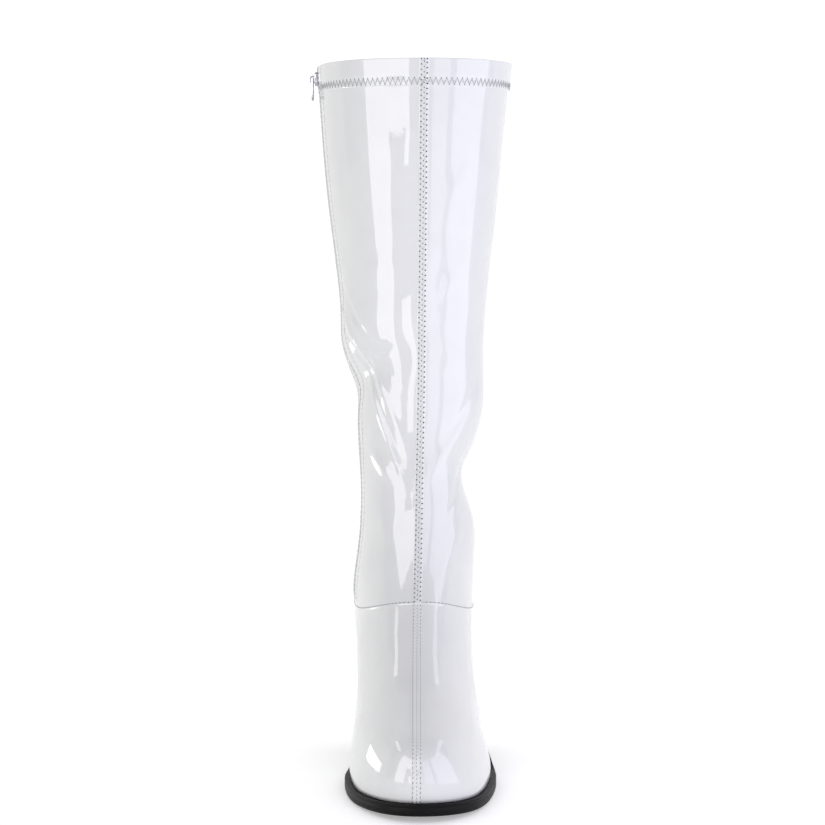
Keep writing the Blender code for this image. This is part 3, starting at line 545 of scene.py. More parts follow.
def shell_relief(t, angle):
    """Height of the leather over the main form.

    It sums the lap above the cross seam, the top band, the front seam's ridge with its groove,
    the lips and groove of the zip, the dip along the zigzag and the fine creases.
    """
    drop = top_drop(t, angle)
    off_seam = wrap(angle - seam_angle(t)) * arc_speed(t, 0.0)
    off_zip = np.abs(wrap(angle - ZIP_SIDE)) * arc_speed(t, ZIP_SIDE)
    lap = LAP_RISE * smooth_step(t, CROSS_SEAM - LAP_RUN, CROSS_SEAM + LAP_RUN)
    band = BAND_STEP * smooth_step(-drop, -BAND_HEIGHT - STEP_RUN, -BAND_HEIGHT)
    seam = SEAM_STEP * (1 - smooth_step(np.abs(off_seam), SEAM_WIDTH / 2, SEAM_WIDTH / 2 + STEP_RUN))
    shaft = smooth_step(t, CROSS_SEAM, CROSS_SEAM + 2 * LAP_RUN)
    groove = -GROOVE_DEPTH * np.exp(-(off_seam / GROOVE_WIDTH) ** 2) * (1 - GROOVE_FADE * shaft)
    zipped = smooth_step(t, ZIP_BOTTOM - LAP_RUN, ZIP_BOTTOM)
    edge = ZIP_WIDTH / 2
    trench = -ZIP_DEPTH * (1 - smooth_step(off_zip, edge, edge + STEP_RUN))
    lips = LIP_HEIGHT * np.exp(-((off_zip - edge - LIP_WIDTH) / LIP_WIDTH) ** 2) * (off_zip > edge)
    middle = (ZIGZAG_TOP + ZIGZAG_FOOT) / 2
    pucker = -PUCKER_DEPTH * np.exp(-((drop - middle) / PUCKER_WIDTH) ** 2)
    creases = folds(CREASES, angle, upper_form(t, angle)[..., 2])
    return lap + band + seam + groove + zipped * (trench + lips) + pucker + creases


def skin(t, angle):
    """Outer surface of the finished upper, in the frame: main form plus relief along its normal."""
    t, angle = np.broadcast_arrays(np.asarray(t, float), np.asarray(angle, float))
    relief = shell_relief(t, angle)[..., None]
    return upper_surface(t, angle) + outward(upper_form, t, angle) * relief + PLACE


def lining(t, angle):
    """Inner surface: the main form moved inwards by the wall, and by the zip's groove behind it."""
    t, angle = np.broadcast_arrays(np.asarray(t, float), np.asarray(angle, float))
    off_zip = np.abs(wrap(angle - ZIP_SIDE)) * arc_speed(t, ZIP_SIDE)
    zipped = smooth_step(t, ZIP_BOTTOM - LAP_RUN, ZIP_BOTTOM)
    edge = ZIP_WIDTH / 2 + STEP_RUN
    behind = ZIP_DEPTH * (1 - smooth_step(off_zip, edge, edge + 4 * STEP_RUN)) * zipped
    normal = outward(upper_form, t, angle)
    return upper_surface(t, angle) - normal * (WALL + behind)[..., None] + PLACE


def shell_angles(t):
    """Angles of the shell's columns on section t, denser over the front seam and the zip's edges."""
    seam = seam_angle(t)
    half = SEAM_WIDTH / 2
    marks = np.array([0.0, GROOVE_WIDTH, 2 * GROOVE_WIDTH, half * SEAM_COLUMN, half, half + STEP_RUN / 2,
                      half + STEP_RUN, half + 2 * STEP_RUN])
    over_seam = np.concatenate([-marks[:0:-1], marks]) / arc_speed(t, 0.0)
    edge = ZIP_WIDTH / 2
    marks = np.array([0.0, edge * ZIP_COLUMN, edge, edge + STEP_RUN / 2, edge + STEP_RUN,
                      edge + LIP_WIDTH, edge + 2 * LIP_WIDTH, edge + 3 * LIP_WIDTH])
    over_zip = np.concatenate([-marks[:0:-1], marks]) / arc_speed(t, ZIP_SIDE)
    again = ZIP_SIDE + 2 * math.pi
    lateral = np.linspace(seam + over_seam[-1], again + over_zip[0], SIDE_COLUMNS)[1:-1]
    medial = np.linspace(ZIP_SIDE + over_zip[-1], seam + over_seam[0], NEAR_COLUMNS)[1:-1]
    return np.concatenate([seam + over_seam, lateral, again + over_zip, medial + 2 * math.pi])


def shell_sections():
    """Section numbers of the shell's rows: even along the front, denser at cross seam and band."""
    fine = np.linspace(0, TOP, SECTION_SAMPLES)
    line = upper_form(fine, ROW_ANGLE)
    run = np.concatenate([[0], np.cumsum(np.linalg.norm(np.diff(line, axis=0), axis=1))])
    near_lap = np.exp(-((fine - CROSS_SEAM) / (5 * LAP_RUN)) ** 2)
    drop = line[-1, 2] - line[:, 2]
    near_band = np.exp(-((drop - BAND_HEIGHT) / (4 * STEP_RUN)) ** 2)
    weight = 1 + DENSER * near_lap + DENSER * near_band
    measure = np.concatenate([[0], np.cumsum(np.diff(run) * (weight[1:] + weight[:-1]) / 2)])
    return np.interp(np.linspace(0, measure[-1], SHELL_ROWS), measure, fine)


def quads(rows, columns, round_=True):
    """Corner numbers of the quads between the rows of a grid, closed along the columns or not."""
    across = np.arange(columns if round_ else columns - 1)
    low = np.arange(rows - 1)[:, None] * columns
    high = low + columns
    following = (across + 1) % columns
    return np.stack([low + across, low + following, high + following, high + across], -1).reshape(-1, 4)


def mesh_piece(name, points, faces, materials, slots=None):
    """Object from points and a list of face arrays, each of one corner count."""
    mesh = bpy.data.meshes.new(name)
    corners = np.concatenate([f.reshape(-1) for f in faces]).astype(np.int32)
    sizes = np.concatenate([np.full(len(f), f.shape[1]) for f in faces])
    mesh.vertices.add(len(points))
    mesh.vertices.foreach_set("co", np.ascontiguousarray(points, np.float32).ravel())
    mesh.loops.add(len(corners))
    mesh.loops.foreach_set("vertex_index", corners)
    mesh.polygons.add(len(sizes))
    mesh.polygons.foreach_set("loop_start", np.concatenate([[0], np.cumsum(sizes)[:-1]]).astype(np.int32))
    for material in materials:
        mesh.materials.append(material)
    if slots is not None:
        mesh.polygons.foreach_set("material_index", slots.astype(np.int32))
    mesh.update(calc_edges=True)
    mesh.validate()
    mesh.shade_smooth()
    obj = bpy.data.objects.new(name, mesh)
    bpy.context.scene.collection.objects.link(obj)
    return obj


def point_outwards(obj):
    """Turn the faces of closed bodies to point outwards."""
    body = bmesh.new()
    body.from_mesh(obj.data)
    bmesh.ops.recalc_face_normals(body, faces=body.faces)
    body.to_mesh(obj.data)
    body.free()


def set_inputs(node, **values):
    """Set a node's sockets by name, with spaces written as underscores."""
    for name, value in values.items():
        node.inputs[name.replace("_", " ")].default_value = value


def new_material(name):
    """A material with its node tree, Principled shader and Object coordinates."""
    material = bpy.data.materials.new(name)
    material.use_nodes = True
    tree = material.node_tree
    shader = tree.nodes["Principled BSDF"]
    coordinates = tree.nodes.new("ShaderNodeTexCoord")
    return material, tree, shader, coordinates.outputs["Object"]


def add_noise(tree, vector, scale, detail, roughness=0.5):
    """Noise on a vector."""
    noise = tree.nodes.new("ShaderNodeTexNoise")
    set_inputs(noise, Scale=scale, Detail=detail, Roughness=roughness)
    tree.links.new(vector, noise.inputs["Vector"])
    return noise.outputs["Fac"]


def add_ramp(tree, shader, value, first, last, low=0.0, high=1.0, socket="Base Color"):
    """Two-stop colour ramp on a value, onto one socket of the shader."""
    ramp = tree.nodes.new("ShaderNodeValToRGB")
    ramp.color_ramp.elements[0].position = low
    ramp.color_ramp.elements[1].position = high
    ramp.color_ramp.elements[0].color = (*first, 1)
    ramp.color_ramp.elements[1].color = (*last, 1)
    tree.links.new(value, ramp.inputs["Fac"])
    tree.links.new(ramp.outputs["Color"], shader.inputs[socket])


def add_bump(tree, shader, height, strength, distance, socket="Normal"):
    """Bump from a height onto one normal socket of the shader."""
    bump = tree.nodes.new("ShaderNodeBump")
    set_inputs(bump, Strength=strength, Distance=distance)
    tree.links.new(height, bump.inputs["Height"])
    tree.links.new(bump.outputs["Normal"], shader.inputs[socket])


def scaled(colour, factor):
    """A colour with its channels multiplied."""
    return tuple(min(1.0, c * factor) for c in colour)


def patent_leather(name, look):
    """White patent: faintly uneven coated film over a soft backing, with a clear gloss coat."""
    material, tree, shader, place = new_material(name)
    colour = tuple(look.patent_colour)
    mottle = add_noise(tree, place, scale=60.0, detail=3.0)
    add_ramp(tree, shader, mottle, scaled(colour, 0.985), scaled(colour, 1.01), low=0.3, high=0.7)
    set_inputs(shader, Roughness=0.5, Specular_IOR_Level=0.2, Coat_Weight=1.0,
               Coat_Roughness=look.gloss_roughness, Coat_IOR=look.gloss_index, Sheen_Weight=0.0)
    add_bump(tree, shader, add_noise(tree, place, scale=look.film_scale, detail=2.0),
             strength=0.05, distance=0.0005, socket="Coat Normal")
    add_bump(tree, shader, add_noise(tree, place, scale=900.0, detail=2.0), strength=0.08, distance=0.0002)
    return material


def lining_cloth(look):
    """Brushed lining: short even nap."""
    material, tree, shader, place = new_material("brushed_lining")
    grain = add_noise(tree, place, scale=1500.0, detail=3.0, roughness=0.7)
    colour = tuple(look.lining_colour)
    add_ramp(tree, shader, grain, scaled(colour, 0.85), colour, low=0.3, high=0.7)
    set_inputs(shader, Roughness=0.9, Sheen_Weight=0.3, Sheen_Roughness=0.5, Specular_IOR_Level=0.2)
    add_bump(tree, shader, grain, strength=0.4, distance=0.0003)
    return material


def thread_material(name, colour):
    """Twisted sewing thread."""
    material, tree, shader, place = new_material(name)
    twist = add_noise(tree, place, scale=2500.0, detail=2.0)
    add_ramp(tree, shader, twist, scaled(colour, 0.8), colour, low=0.35, high=0.65)
    set_inputs(shader, Roughness=0.6, Sheen_Weight=0.2)
    add_bump(tree, shader, twist, strength=0.3, distance=0.0001)
    return material


def hole_shade_material():
    """Painted shade in a needle hole: a dark colour on the lens at each hole."""
    material, tree, shader, place = new_material("needle_hole_shade")
    uneven = add_noise(tree, place, scale=800.0, detail=1.0)
    add_ramp(tree, shader, uneven, (0.07, 0.07, 0.07), (0.14, 0.14, 0.14))
    set_inputs(shader, Roughness=0.8, Specular_IOR_Level=0.2)
    return material


def rubber_material(name, look, grain_scale):
    """Moulded black rubber: fine stipple, worn to grey on its raised grain."""
    material, tree, shader, place = new_material(name)
    stipple = add_noise(tree, place, scale=grain_scale, detail=4.0, roughness=0.65)
    colour = tuple(look.rubber_colour)
    add_ramp(tree, shader, stipple, colour, scaled(colour, 1.8), low=0.35, high=0.75)
    add_ramp(tree, shader, stipple, (0.36,) * 3, (0.55,) * 3, low=0.3, high=0.7, socket="Roughness")
    set_inputs(shader, Specular_IOR_Level=0.08)
    add_bump(tree, shader, stipple, strength=0.25, distance=0.0002)
    return material


def metal_material(name, look):
    """Bright nickel plate with faint rubbing marks."""
    material, tree, shader, place = new_material(name)
    rub = add_noise(tree, place, scale=700.0, detail=3.0)
    set_inputs(shader, Metallic=1.0, Base_Color=(*look.metal_colour, 1))
    add_ramp(tree, shader, rub, (0.16,) * 3, (0.32,) * 3, socket="Roughness")
    add_bump(tree, shader, rub, strength=0.05, distance=0.0001)
    return material


def woven_tape(look):
    """Woven zip tape: crossing ribs on Object coordinates."""
    material, tree, shader, place = new_material("zip_tape_weave")
    weave = tree.nodes.new("ShaderNodeTexWave")
    set_inputs(weave, Scale=420.0, Distortion=0.4)
    weave.bands_direction = "Z"
    tree.links.new(place, weave.inputs["Vector"])
    colour = tuple(look.thread_colour)
    add_ramp(tree, shader, weave.outputs["Fac"], scaled(colour, 0.75), colour)
    set_inputs(shader, Roughness=0.85, Sheen_Weight=0.3)
    add_bump(tree, shader, weave.outputs["Fac"], strength=0.5, distance=0.0002)
    return material


def even_places(line, pitch):
    """Share numbers at which a polyline passes an even pitch along its length."""
    run = np.concatenate([[0], np.cumsum(np.linalg.norm(np.diff(line, axis=0), axis=1))])
    count = max(2, int(round(run[-1] / pitch)) + 1)
    return np.interp(np.linspace(0, run[-1], count), run, np.linspace(0, 1, len(line)))


def stitch_bars(start, end, normal, radius, lift):
    """Short arched threads from start to end: rings along the parabola 4 t (1 - t), tapered."""
    share = np.linspace(0, 1, BAR_RINGS)
    arch = 4 * share * (1 - share)
    along = end - start
    along = along / np.linalg.norm(along, axis=1, keepdims=True)
    across = np.cross(along, normal)
    across /= np.linalg.norm(across, axis=1, keepdims=True)
    up = np.cross(across, along)
    rise = arch * lift - radius * BAR_SINK
    centre = start[:, None, :] + (end - start)[:, None, :] * share[None, :, None]
    centre = centre + up[:, None, :] * rise[None, :, None]
    taper = radius * (BAR_TIP + (1 - BAR_TIP) * np.sqrt(arch))
    turn = np.linspace(0, 2 * math.pi, BAR_SIDES + 1)[:-1][None, None, :, None]
    ring = across[:, None, None, :] * np.cos(turn) + up[:, None, None, :] * np.sin(turn)
    points = centre[:, :, None, :] + ring * taper[None, :, None, None]
    first = (np.arange(len(start)) * BAR_RINGS * BAR_SIDES)[:, None, None]
    faces = (quads(BAR_RINGS, BAR_SIDES)[None] + first).reshape(-1, 4)
    side = np.arange(BAR_SIDES)
    cap = np.array([side[::-1], side + (BAR_RINGS - 1) * BAR_SIDES])
    caps = (cap[None] + first).reshape(-1, BAR_SIDES)
    return points.reshape(-1, 3), [faces[:, ::-1], caps[:, ::-1]]


def running_stitches(points, normal):
    """Stitches along a row of needle holes, each short of its holes by STITCH_GAP of the pitch."""
    gap = (points[1:] - points[:-1]) * STITCH_GAP
    return stitch_bars(points[:-1] + gap, points[1:] - gap, normal[:-1], THREAD_RADIUS, THREAD_RADIUS)


def hole_shade_dots(centre, normal, radius):
    """Shallow lens at each needle hole, dark with painted shade: a ring of points with a centre above and
    below.
    """
    steep = np.abs(normal[:, 2:3]) < NEAR_VERTICAL
    guide = np.where(steep, np.array([[0.0, 0.0, 1.0]]), np.array([[0.0, 1.0, 0.0]]))
    across = np.cross(normal, guide)
    across /= np.linalg.norm(across, axis=1, keepdims=True)
    up = np.cross(normal, across)
    turn = np.linspace(0, 2 * math.pi, HOLE_SIDES + 1)[:-1][None, :, None]
    ring = centre[:, None] + radius * (across[:, None] * np.cos(turn) + up[:, None] * np.sin(turn))
    top = (centre + normal * radius * HOLE_RISE)[:, None]
    low = (centre - normal * radius * HOLE_SINK)[:, None]
    points = np.concatenate([ring, top, low], axis=1)
    k = np.arange(HOLE_SIDES)
    n = (k + 1) % HOLE_SIDES
    one = np.concatenate([np.stack([k, n, np.full(HOLE_SIDES, HOLE_SIDES)], 1),
                          np.stack([n, k, np.full(HOLE_SIDES, HOLE_SIDES + 1)], 1)])
    faces = (one[None] + (np.arange(len(centre)) * (HOLE_SIDES + 2))[:, None, None]).reshape(-1, 3)
    return points.reshape(-1, 3), [faces]


def joined(name, parts, material):
    """One object from several (points, faces) sets."""
    points = []
    by_size = {}
    total = 0
    for part_points, part_faces in parts:
        points.append(part_points)
        for faces in part_faces:
            by_size.setdefault(faces.shape[1], []).append(faces + total)
        total += len(part_points)
    faces = [np.concatenate(by_size[size]) for size in sorted(by_size)]
    return mesh_piece(name, np.concatenate(points), faces, [material])


def finish_piece(obj, body, slot, *nodes):
    """Ride and stand for nodes. The slot is not used."""
    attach(obj, body)
    if nodes:
        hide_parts(*nodes)
    return obj


def make_upper_shell(materials):
    """Upper as one closed shell: outer rows, rounded top edge, inner rows and feather edge."""
    t = shell_sections()
    angles = np.stack([shell_angles(v) for v in t])
    outer = skin(t[:, None], angles)
    outer[0, :, 2] = feather(outer[0, :, 1] - PLACE[1]) + CLEARANCE
    low = np.linspace(TOP, 0, LINING_ROWS)
    inner_angles = np.stack([shell_angles(v) for v in low])
    inner = lining(low[:, None], inner_angles)
    inner[-1, :, 2] = feather(inner[-1, :, 1] - PLACE[1]) + CLEARANCE
    inner[0, :, 2] = outer[-1, :, 2]
    span = inner[0] - outer[-1]
    width = np.linalg.norm(span, axis=1, keepdims=True)
    rounding = []
    for turn in RIM_TURNS:
        inset = RIM_ROUND * (1 - math.cos(turn))
        rounding.append((inset, RIM_ROUND * math.sin(turn)))
    outer[-1, :, 2] -= RIM_ROUND
    inner[0, :, 2] -= RIM_ROUND
    rim = [outer[-1] + span * (inset / width) + [0, 0, rise] for inset, rise in rounding]
    rim += [inner[0] - span * (inset / width) + [0, 0, rise] for inset, rise in rounding[::-1]]
    grid = np.concatenate([outer, np.array(rim), inner])
    rows, columns = grid.shape[:2]
    faces = quads(rows + 1, columns) % (rows * columns)
    slots = np.where(np.arange(len(faces)) // columns >= len(outer) + 2, 1, 0)
    slots[-columns:] = 0
    return mesh_piece("upper_shell", grid.reshape(-1, 3), [faces], materials, slots)


def front_seam_places(t_start, t_end, pitch, shift):
    """Places along the front seam at an even pitch, moved sideways by `shift` metres."""
    fine = np.linspace(t_start, t_end, ROW_SAMPLES)
    share = even_places(skin(fine, seam_angle(fine)), pitch)
    t = t_start + (t_end - t_start) * share
    return t, seam_angle(t) + shift / arc_speed(t, 0.0)


def on_skin(t, angle, sink=0.0):
    """Points and unit normals on the finished surface."""
    normal = outward(skin, np.asarray(t, float), np.asarray(angle, float))
    return skin(t, angle) - normal * sink, normal


def between(first, second):
    """Stitches from each point of one row to the matching point of another."""
    n = min(len(first[0]), len(second[0]))
    return first[0][:n], second[0][:n], (first[1][:n] + second[1][:n]) / 2


def make_front_seam(thread, hole):
    """Front seam: three needle columns with a leaning lattice over the shaft.

    Below the cross seam come two stitched rows with a line of needle marks between them.
    """
    threads = []
    dots = []
    holes = {}
    for name, shift in (("left", -SEAM_ROW), ("middle", 0.0), ("right", SEAM_ROW)):
        t, angle = front_seam_places(CROSS_SEAM + SEAM_CLEAR, TOP - TOP_CLEAR, SEAM_PITCH, shift)
        half = np.diff(t, append=t[-1]) / 2
        if name == "middle":
            t = t + half
        if name == "right":
            t = t + half * LATTICE_LEAN
        holes[name] = on_skin(t, angle)
        dots.append(hole_shade_dots(*holes[name], HOLE_RADIUS))
    ahead = {name: (points[1:], normal[1:]) for name, (points, normal) in holes.items()}
    for first, second in (("middle", "left"), ("middle", "right"), ("left", "left")):
        start, end, normal = between(holes[first], ahead[second])
        threads.append(stitch_bars(start, end, normal, THREAD_RADIUS, THREAD_RADIUS * LATTICE_LIFT))
    for side in (-1, 1):
        t, angle = front_seam_places(TOE_START, CROSS_SEAM - SEAM_CLEAR, TOE_PITCH, side * TOE_ROW)
        points, normal = on_skin(t, angle)
        dots.append(hole_shade_dots(points, normal, HOLE_RADIUS * TOE_HOLE))
        threads.append(running_stitches(points, normal))
    t, angle = front_seam_places(TOE_START, CROSS_SEAM - SEAM_CLEAR, TOE_PITCH * MIDDLE_PITCH, 0.0)
    dots.append(hole_shade_dots(*on_skin(t, angle), HOLE_RADIUS * ROW_HOLE))
    finish_piece(joined("front_seam_thread", threads, thread), "boot", "white_patent")
    finish_piece(joined("front_seam_hole_shade", dots, hole), "boot", "white_patent")


def section_at_drop(angle, drop):
    """Section number where a column lies a given height under the top line, by Newton's steps."""
    t = np.full(np.shape(angle), TOP - 0.4)
    for _ in range(6):
        here = top_drop(t, angle)
        slope = (top_drop(t + SLOPE_STEP, angle) - top_drop(t - SLOPE_STEP, angle)) / (2 * SLOPE_STEP)
        t = t - (here - drop) / slope
    return t


def make_band_zigzag(thread, hole):
    """Zigzag round the top band, from the zip's outer topstitch round to the other side."""
    reach = (ZIP_WIDTH / 2 + ZIP_ROWS[1]) / float(arc_speed(TOP, ZIP_SIDE))
    fine = np.linspace(ZIP_SIDE + reach, ZIP_SIDE + 2 * math.pi - reach, ROUND_SAMPLES)
    middle = section_at_drop(fine, (ZIGZAG_TOP + ZIGZAG_FOOT) / 2)
    share = even_places(skin(middle, fine), ZIGZAG_PITCH / 2)
    angle = fine[0] + (fine[-1] - fine[0]) * share
    level = np.where(np.arange(len(angle)) % 2 == 0, ZIGZAG_TOP, ZIGZAG_FOOT)
    points, normal = on_skin(section_at_drop(angle, level), angle)
    # The zigzag's thread is the grey of painted shade, not its own white.
    bars = stitch_bars(points[:-1], points[1:], normal[:-1], THREAD_RADIUS * BAND_THREAD, THREAD_RADIUS)
    finish_piece(joined("band_zigzag_thread", [bars], thread), "boot", "white_patent")
    dots = hole_shade_dots(points, normal, HOLE_RADIUS * BAND_HOLE)
    finish_piece(joined("band_zigzag_hole_shade", [dots], hole), "boot", "white_patent")


def make_running_rows(white, grey, hole):
    """Single rows: over the cross seam's lap, and two along each side of the zip."""
    dots = []

    def row(threads, t, angle):
        points, normal = on_skin(t, angle)
        threads.append(running_stitches(points, normal))
        dots.append(hole_shade_dots(points, normal, HOLE_RADIUS * ROW_HOLE))

    fine = np.linspace(0, 2 * math.pi, ROUND_SAMPLES)
    climb = np.linalg.norm(upper_form(CROSS_SEAM + 0.1, fine) - upper_form(CROSS_SEAM, fine), axis=1) / 0.1
    level = CROSS_SEAM + LAP_ROW / climb
    share = even_places(skin(level, fine), LAP_PITCH)
    gap = SEAM_WIDTH * SEAM_PASS / float(arc_speed(CROSS_SEAM, 0.0))
    angle = 2 * math.pi * share
    angle = angle[(angle > gap) & (angle < 2 * math.pi - gap)]
    lap_threads = []
    row(lap_threads, np.interp(angle, fine, level), angle)
    zip_threads = []
    for sign in (-1, 1):
        for off in ZIP_ROWS:
            t = np.linspace(ZIP_BOTTOM - ROW_START, TOP - ROW_CLEAR, ROW_SAMPLES)
            shift = sign * (ZIP_WIDTH / 2 + off) / arc_speed(t, ZIP_SIDE)
            share = even_places(skin(t, ZIP_SIDE + shift), ZIP_PITCH)
            place = t[0] + (t[-1] - t[0]) * share
            row(zip_threads, place, ZIP_SIDE + np.interp(place, t, shift))
    # The cross seam's row uses the same grey thread of painted shade.
    finish_piece(joined("cross_seam_thread", lap_threads, grey), "boot", "white_patent")
    finish_piece(joined("zip_edge_thread", zip_threads, white), "boot", "white_patent")
    finish_piece(joined("running_hole_shade", dots, hole), "boot", "white_patent")


def zip_line(t, across, level):
    """Place on the zip: `across` metres off its middle and `level` metres over the main form."""
    t = np.asarray(t, float)
    angle = ZIP_SIDE + across / arc_speed(t, ZIP_SIDE)
    normal = outward(upper_surface, t, np.full(t.shape, ZIP_SIDE))
    return upper_surface(t, angle) + normal * np.asarray(level)[..., None] + PLACE


def make_zip(tape_material, coil_material, metal):
    """Closed coil zip: woven tape along the groove's floor, crossing coil loops and a lower stop."""
    floor = CLEARANCE - ZIP_DEPTH
    t = np.linspace(ZIP_BOTTOM + COIL_CLEAR, TOP - TOP_CLEAR, TAPE_ROWS)
    marks = np.array([-0.5, -0.47, -0.3, -0.1, 0.1, 0.3, 0.47, 0.5]) * TAPE_WIDTH
    levels = floor + TAPE_THICKNESS * np.array([0.3, 1, 1, 1, 1, 1, 1, 0.3])
    upper_side = np.stack([zip_line(t, m, np.full(len(t), l)) for m, l in zip(marks, levels)], axis=1)
    under_side = np.stack([zip_line(t, m, np.full(len(t), floor)) for m in marks[::-1]], axis=1)
    grid = np.concatenate([upper_side, under_side], axis=1)
    rows, columns = grid.shape[:2]
    caps = np.stack([np.arange(columns)[::-1], np.arange(columns) + (rows - 1) * columns])
    tape = mesh_piece("zip_tape", grid.reshape(-1, 3), [quads(rows, columns), caps], [tape_material])
    point_outwards(tape)
    finish_piece(tape, "boot", "zip_coil", "zip_chain")
    fine = np.linspace(ZIP_BOTTOM + COIL_START, TOP - COIL_CLEAR, ROW_SAMPLES)
    share = even_places(zip_line(fine, 0.0, np.zeros(len(fine))), COIL_PITCH / 2)
    place = fine[0] + (fine[-1] - fine[0]) * share
    side = np.where(np.arange(len(place)) % 2 == 0, 1.0, -1.0)
    base = floor + TAPE_THICKNESS + COIL_RADIUS * COIL_BED
    start = zip_line(place, side * COIL_REACH, np.full(len(place), base))
    end = zip_line(place, -side * COIL_CROSS, np.full(len(place), base))
    normal = outward(upper_surface, place, np.full(len(place), ZIP_SIDE))
    loops = stitch_bars(start, end, normal, COIL_RADIUS, COIL_RADIUS * COIL_LIFT)
    coil = joined("zip_coil_loops", [loops], coil_material)
    finish_piece(coil, "boot", "zip_coil")
    stop_t = np.array([ZIP_BOTTOM + STOP_PLACE])
    across = np.array([COIL_REACH])
    start = zip_line(stop_t, -across, np.full(1, base))
    end = zip_line(stop_t, across, np.full(1, base))
    stop_normal = outward(upper_surface, stop_t, np.full(1, ZIP_SIDE))
    stop = joined("zip_stop", [stitch_bars(start, end, stop_normal, COIL_RADIUS * STOP_SIZE, 0.0)], metal)
    finish_piece(stop, "boot", "slider_metal")


def rounded_copy(node, name, material, width):
    """A node's form with its edges rounded: merged copy, bevel of two segments."""
    obj = bpy.data.objects.new(name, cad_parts[node].data.copy())
    bpy.context.scene.collection.objects.link(obj)
    body = bmesh.new()
    body.from_mesh(obj.data)
    bmesh.ops.remove_doubles(body, verts=body.verts, dist=1e-6)
    bmesh.ops.recalc_face_normals(body, faces=body.faces)
    body.to_mesh(obj.data)
    body.free()
    obj.data.materials.clear()
    obj.data.materials.append(material)
    bevel = obj.modifiers.new("rounded edges", "BEVEL")
    bevel.width = width
    bevel.segments = 2
    bevel.limit_method = "ANGLE"
    bevel.angle_limit = math.radians(BEVEL_ANGLE)
    bevel.harden_normals = False
    obj.data.shade_smooth()
    return obj


def across_grid(left, right, count):
    """Rows of points between two matching edges, (n, count, 3)."""
    share = np.linspace(0, 1, count)[None, :, None]
    return left[:, None, :] * (1 - share) + right[:, None, :] * share


def slab(name, loops, cap_columns, materials):
    """A solid of stacked loops whose points i and n-1-i face each other, with gridded ends."""
    count = len(loops[0])
    half = count // 2
    points = [np.concatenate(loops)]
    faces = [quads(len(loops), count)]
    offset = count * len(loops)
    caps = []
    for loop, first in ((loops[0], 0), (loops[-1], count * (len(loops) - 1))):
        left = loop[:half]
        right = loop[::-1][:half]
        inner = across_grid(left, right, cap_columns)[:, 1:-1]
        points.append(inner.reshape(-1, 3))
        number = offset + np.arange(half * (cap_columns - 2)).reshape(half, cap_columns - 2)
        offset += half * (cap_columns - 2)
        grid = np.concatenate([first + np.arange(half)[:, None], number,
                               (first + count - 1 - np.arange(half))[:, None]], axis=1)
        corners = [grid[:-1, :-1], grid[:-1, 1:], grid[1:, 1:], grid[1:, :-1]]
        caps.append(np.stack(corners, -1).reshape(-1, 4))
    obj = mesh_piece(name, np.concatenate(points), faces + caps, materials)
    point_outwards(obj)
    return obj


def edge_profile(height, round_low, round_high):
    """Side profile of an edge as (share of height, inset): quarter rounds joined by a face."""
    turn = np.linspace(0, math.pi / 2, 5)
    low = [(round_low * (1 - math.cos(a)) / height, round_low * (1 - math.sin(a))) for a in turn]
    high = [(1 - round_high * (1 - math.sin(a)) / height, round_high * (1 - math.cos(a))) for a in turn]
    return low, high


def make_outsole(material):
    """Outsole from toe to heel breast, with rounded edges and a moulded groove round its side."""
    breast = HEEL_BREAST * LENGTH
    angles = np.linspace(angle_at(breast, -1), angle_at(breast, 1), SOLE_COLUMNS)
    s = upper_form(0.0, angles)[:, 1]

    def loop(share, inset):
        plan = foot_outline(angles, sole_edge(s) - inset)
        plan[[0, -1], 1] = breast
        high = feather(plan[:, 1])
        low = high - sole_thickness(plan[:, 1])
        return np.column_stack([plan, low + (high - low) * share]) + PLACE

    low, high = edge_profile(SOLE_THICKNESS, 2 * EDGE_ROUND, EDGE_ROUND)
    profile = [(0.0, 4 * EDGE_ROUND)] + low + list(SIDE_GROOVE) + high + [(1.0, 2.5 * EDGE_ROUND)]
    obj = slab("outsole_unit", [loop(a, b) for a, b in profile], SOLE_CAPS, [material])
    obj.data.set_sharp_from_angle(angle=math.radians(SOLE_SHARP))
    finish_piece(obj, "boot", "sole_rubber", "outsole")


def make_sock(material):
    """Insole with a softly domed sock, inside the upper."""
    angles = np.linspace(-math.pi, math.pi, SOCK_COLUMNS + 1)[:-1] + math.pi / SOCK_COLUMNS

    def loop(inset, level):
        plan = foot_outline(angles, np.full(len(angles), -(WALL + INSOLE_GAP) - inset))
        return np.column_stack([plan, feather(plan[:, 1]) + CLEARANCE + level]) + PLACE

    edge = INSOLE_THICKNESS * 0.35
    levels = [(0.0, 0.0), (0.0, INSOLE_THICKNESS * 0.6), (edge * 0.3, INSOLE_THICKNESS * 0.85),
              (edge, INSOLE_THICKNESS), (4 * edge, INSOLE_THICKNESS)]
    sock = slab("insole_sock", [loop(a, b) for a, b in levels], SOCK_CAPS, [material])
    finish_piece(sock, "boot", "sock_lining", "insole")


def heel_plan(share, count):
    """Plan of the heel at a share of its height (0 foot, 1 seat), as an (n, 2) array."""
    breast = HEEL_BREAST * LENGTH + CLEARANCE
    first = angle_at(breast, 1)
    last = 2 * math.pi + angle_at(breast, -1)
    angles = np.linspace(first, last, count)
    top = foot_outline(angles, np.full(len(angles), HEEL_EDGE))
    top[[0, -1], 1] = breast
    middle = np.array([top[:, 0].mean(), (top[:, 1].min() + top[:, 1].max()) / 2])
    foot = middle + HEEL_TAPER * (top - middle) - np.array([0, HEEL_PITCH])
    eased = smooth_step(share, 0, 1)
    return foot + (top - foot) * (share + (eased - share) * HEEL_FLARE)


def shrunk(plan, by):
    """A plan whose edges are drawn in, scaled about its middle."""
    low = plan.min(axis=0)
    high = plan.max(axis=0)
    middle = (low + high) / 2
    return middle + (plan - middle) * (1 - 2 * by / (high - low))


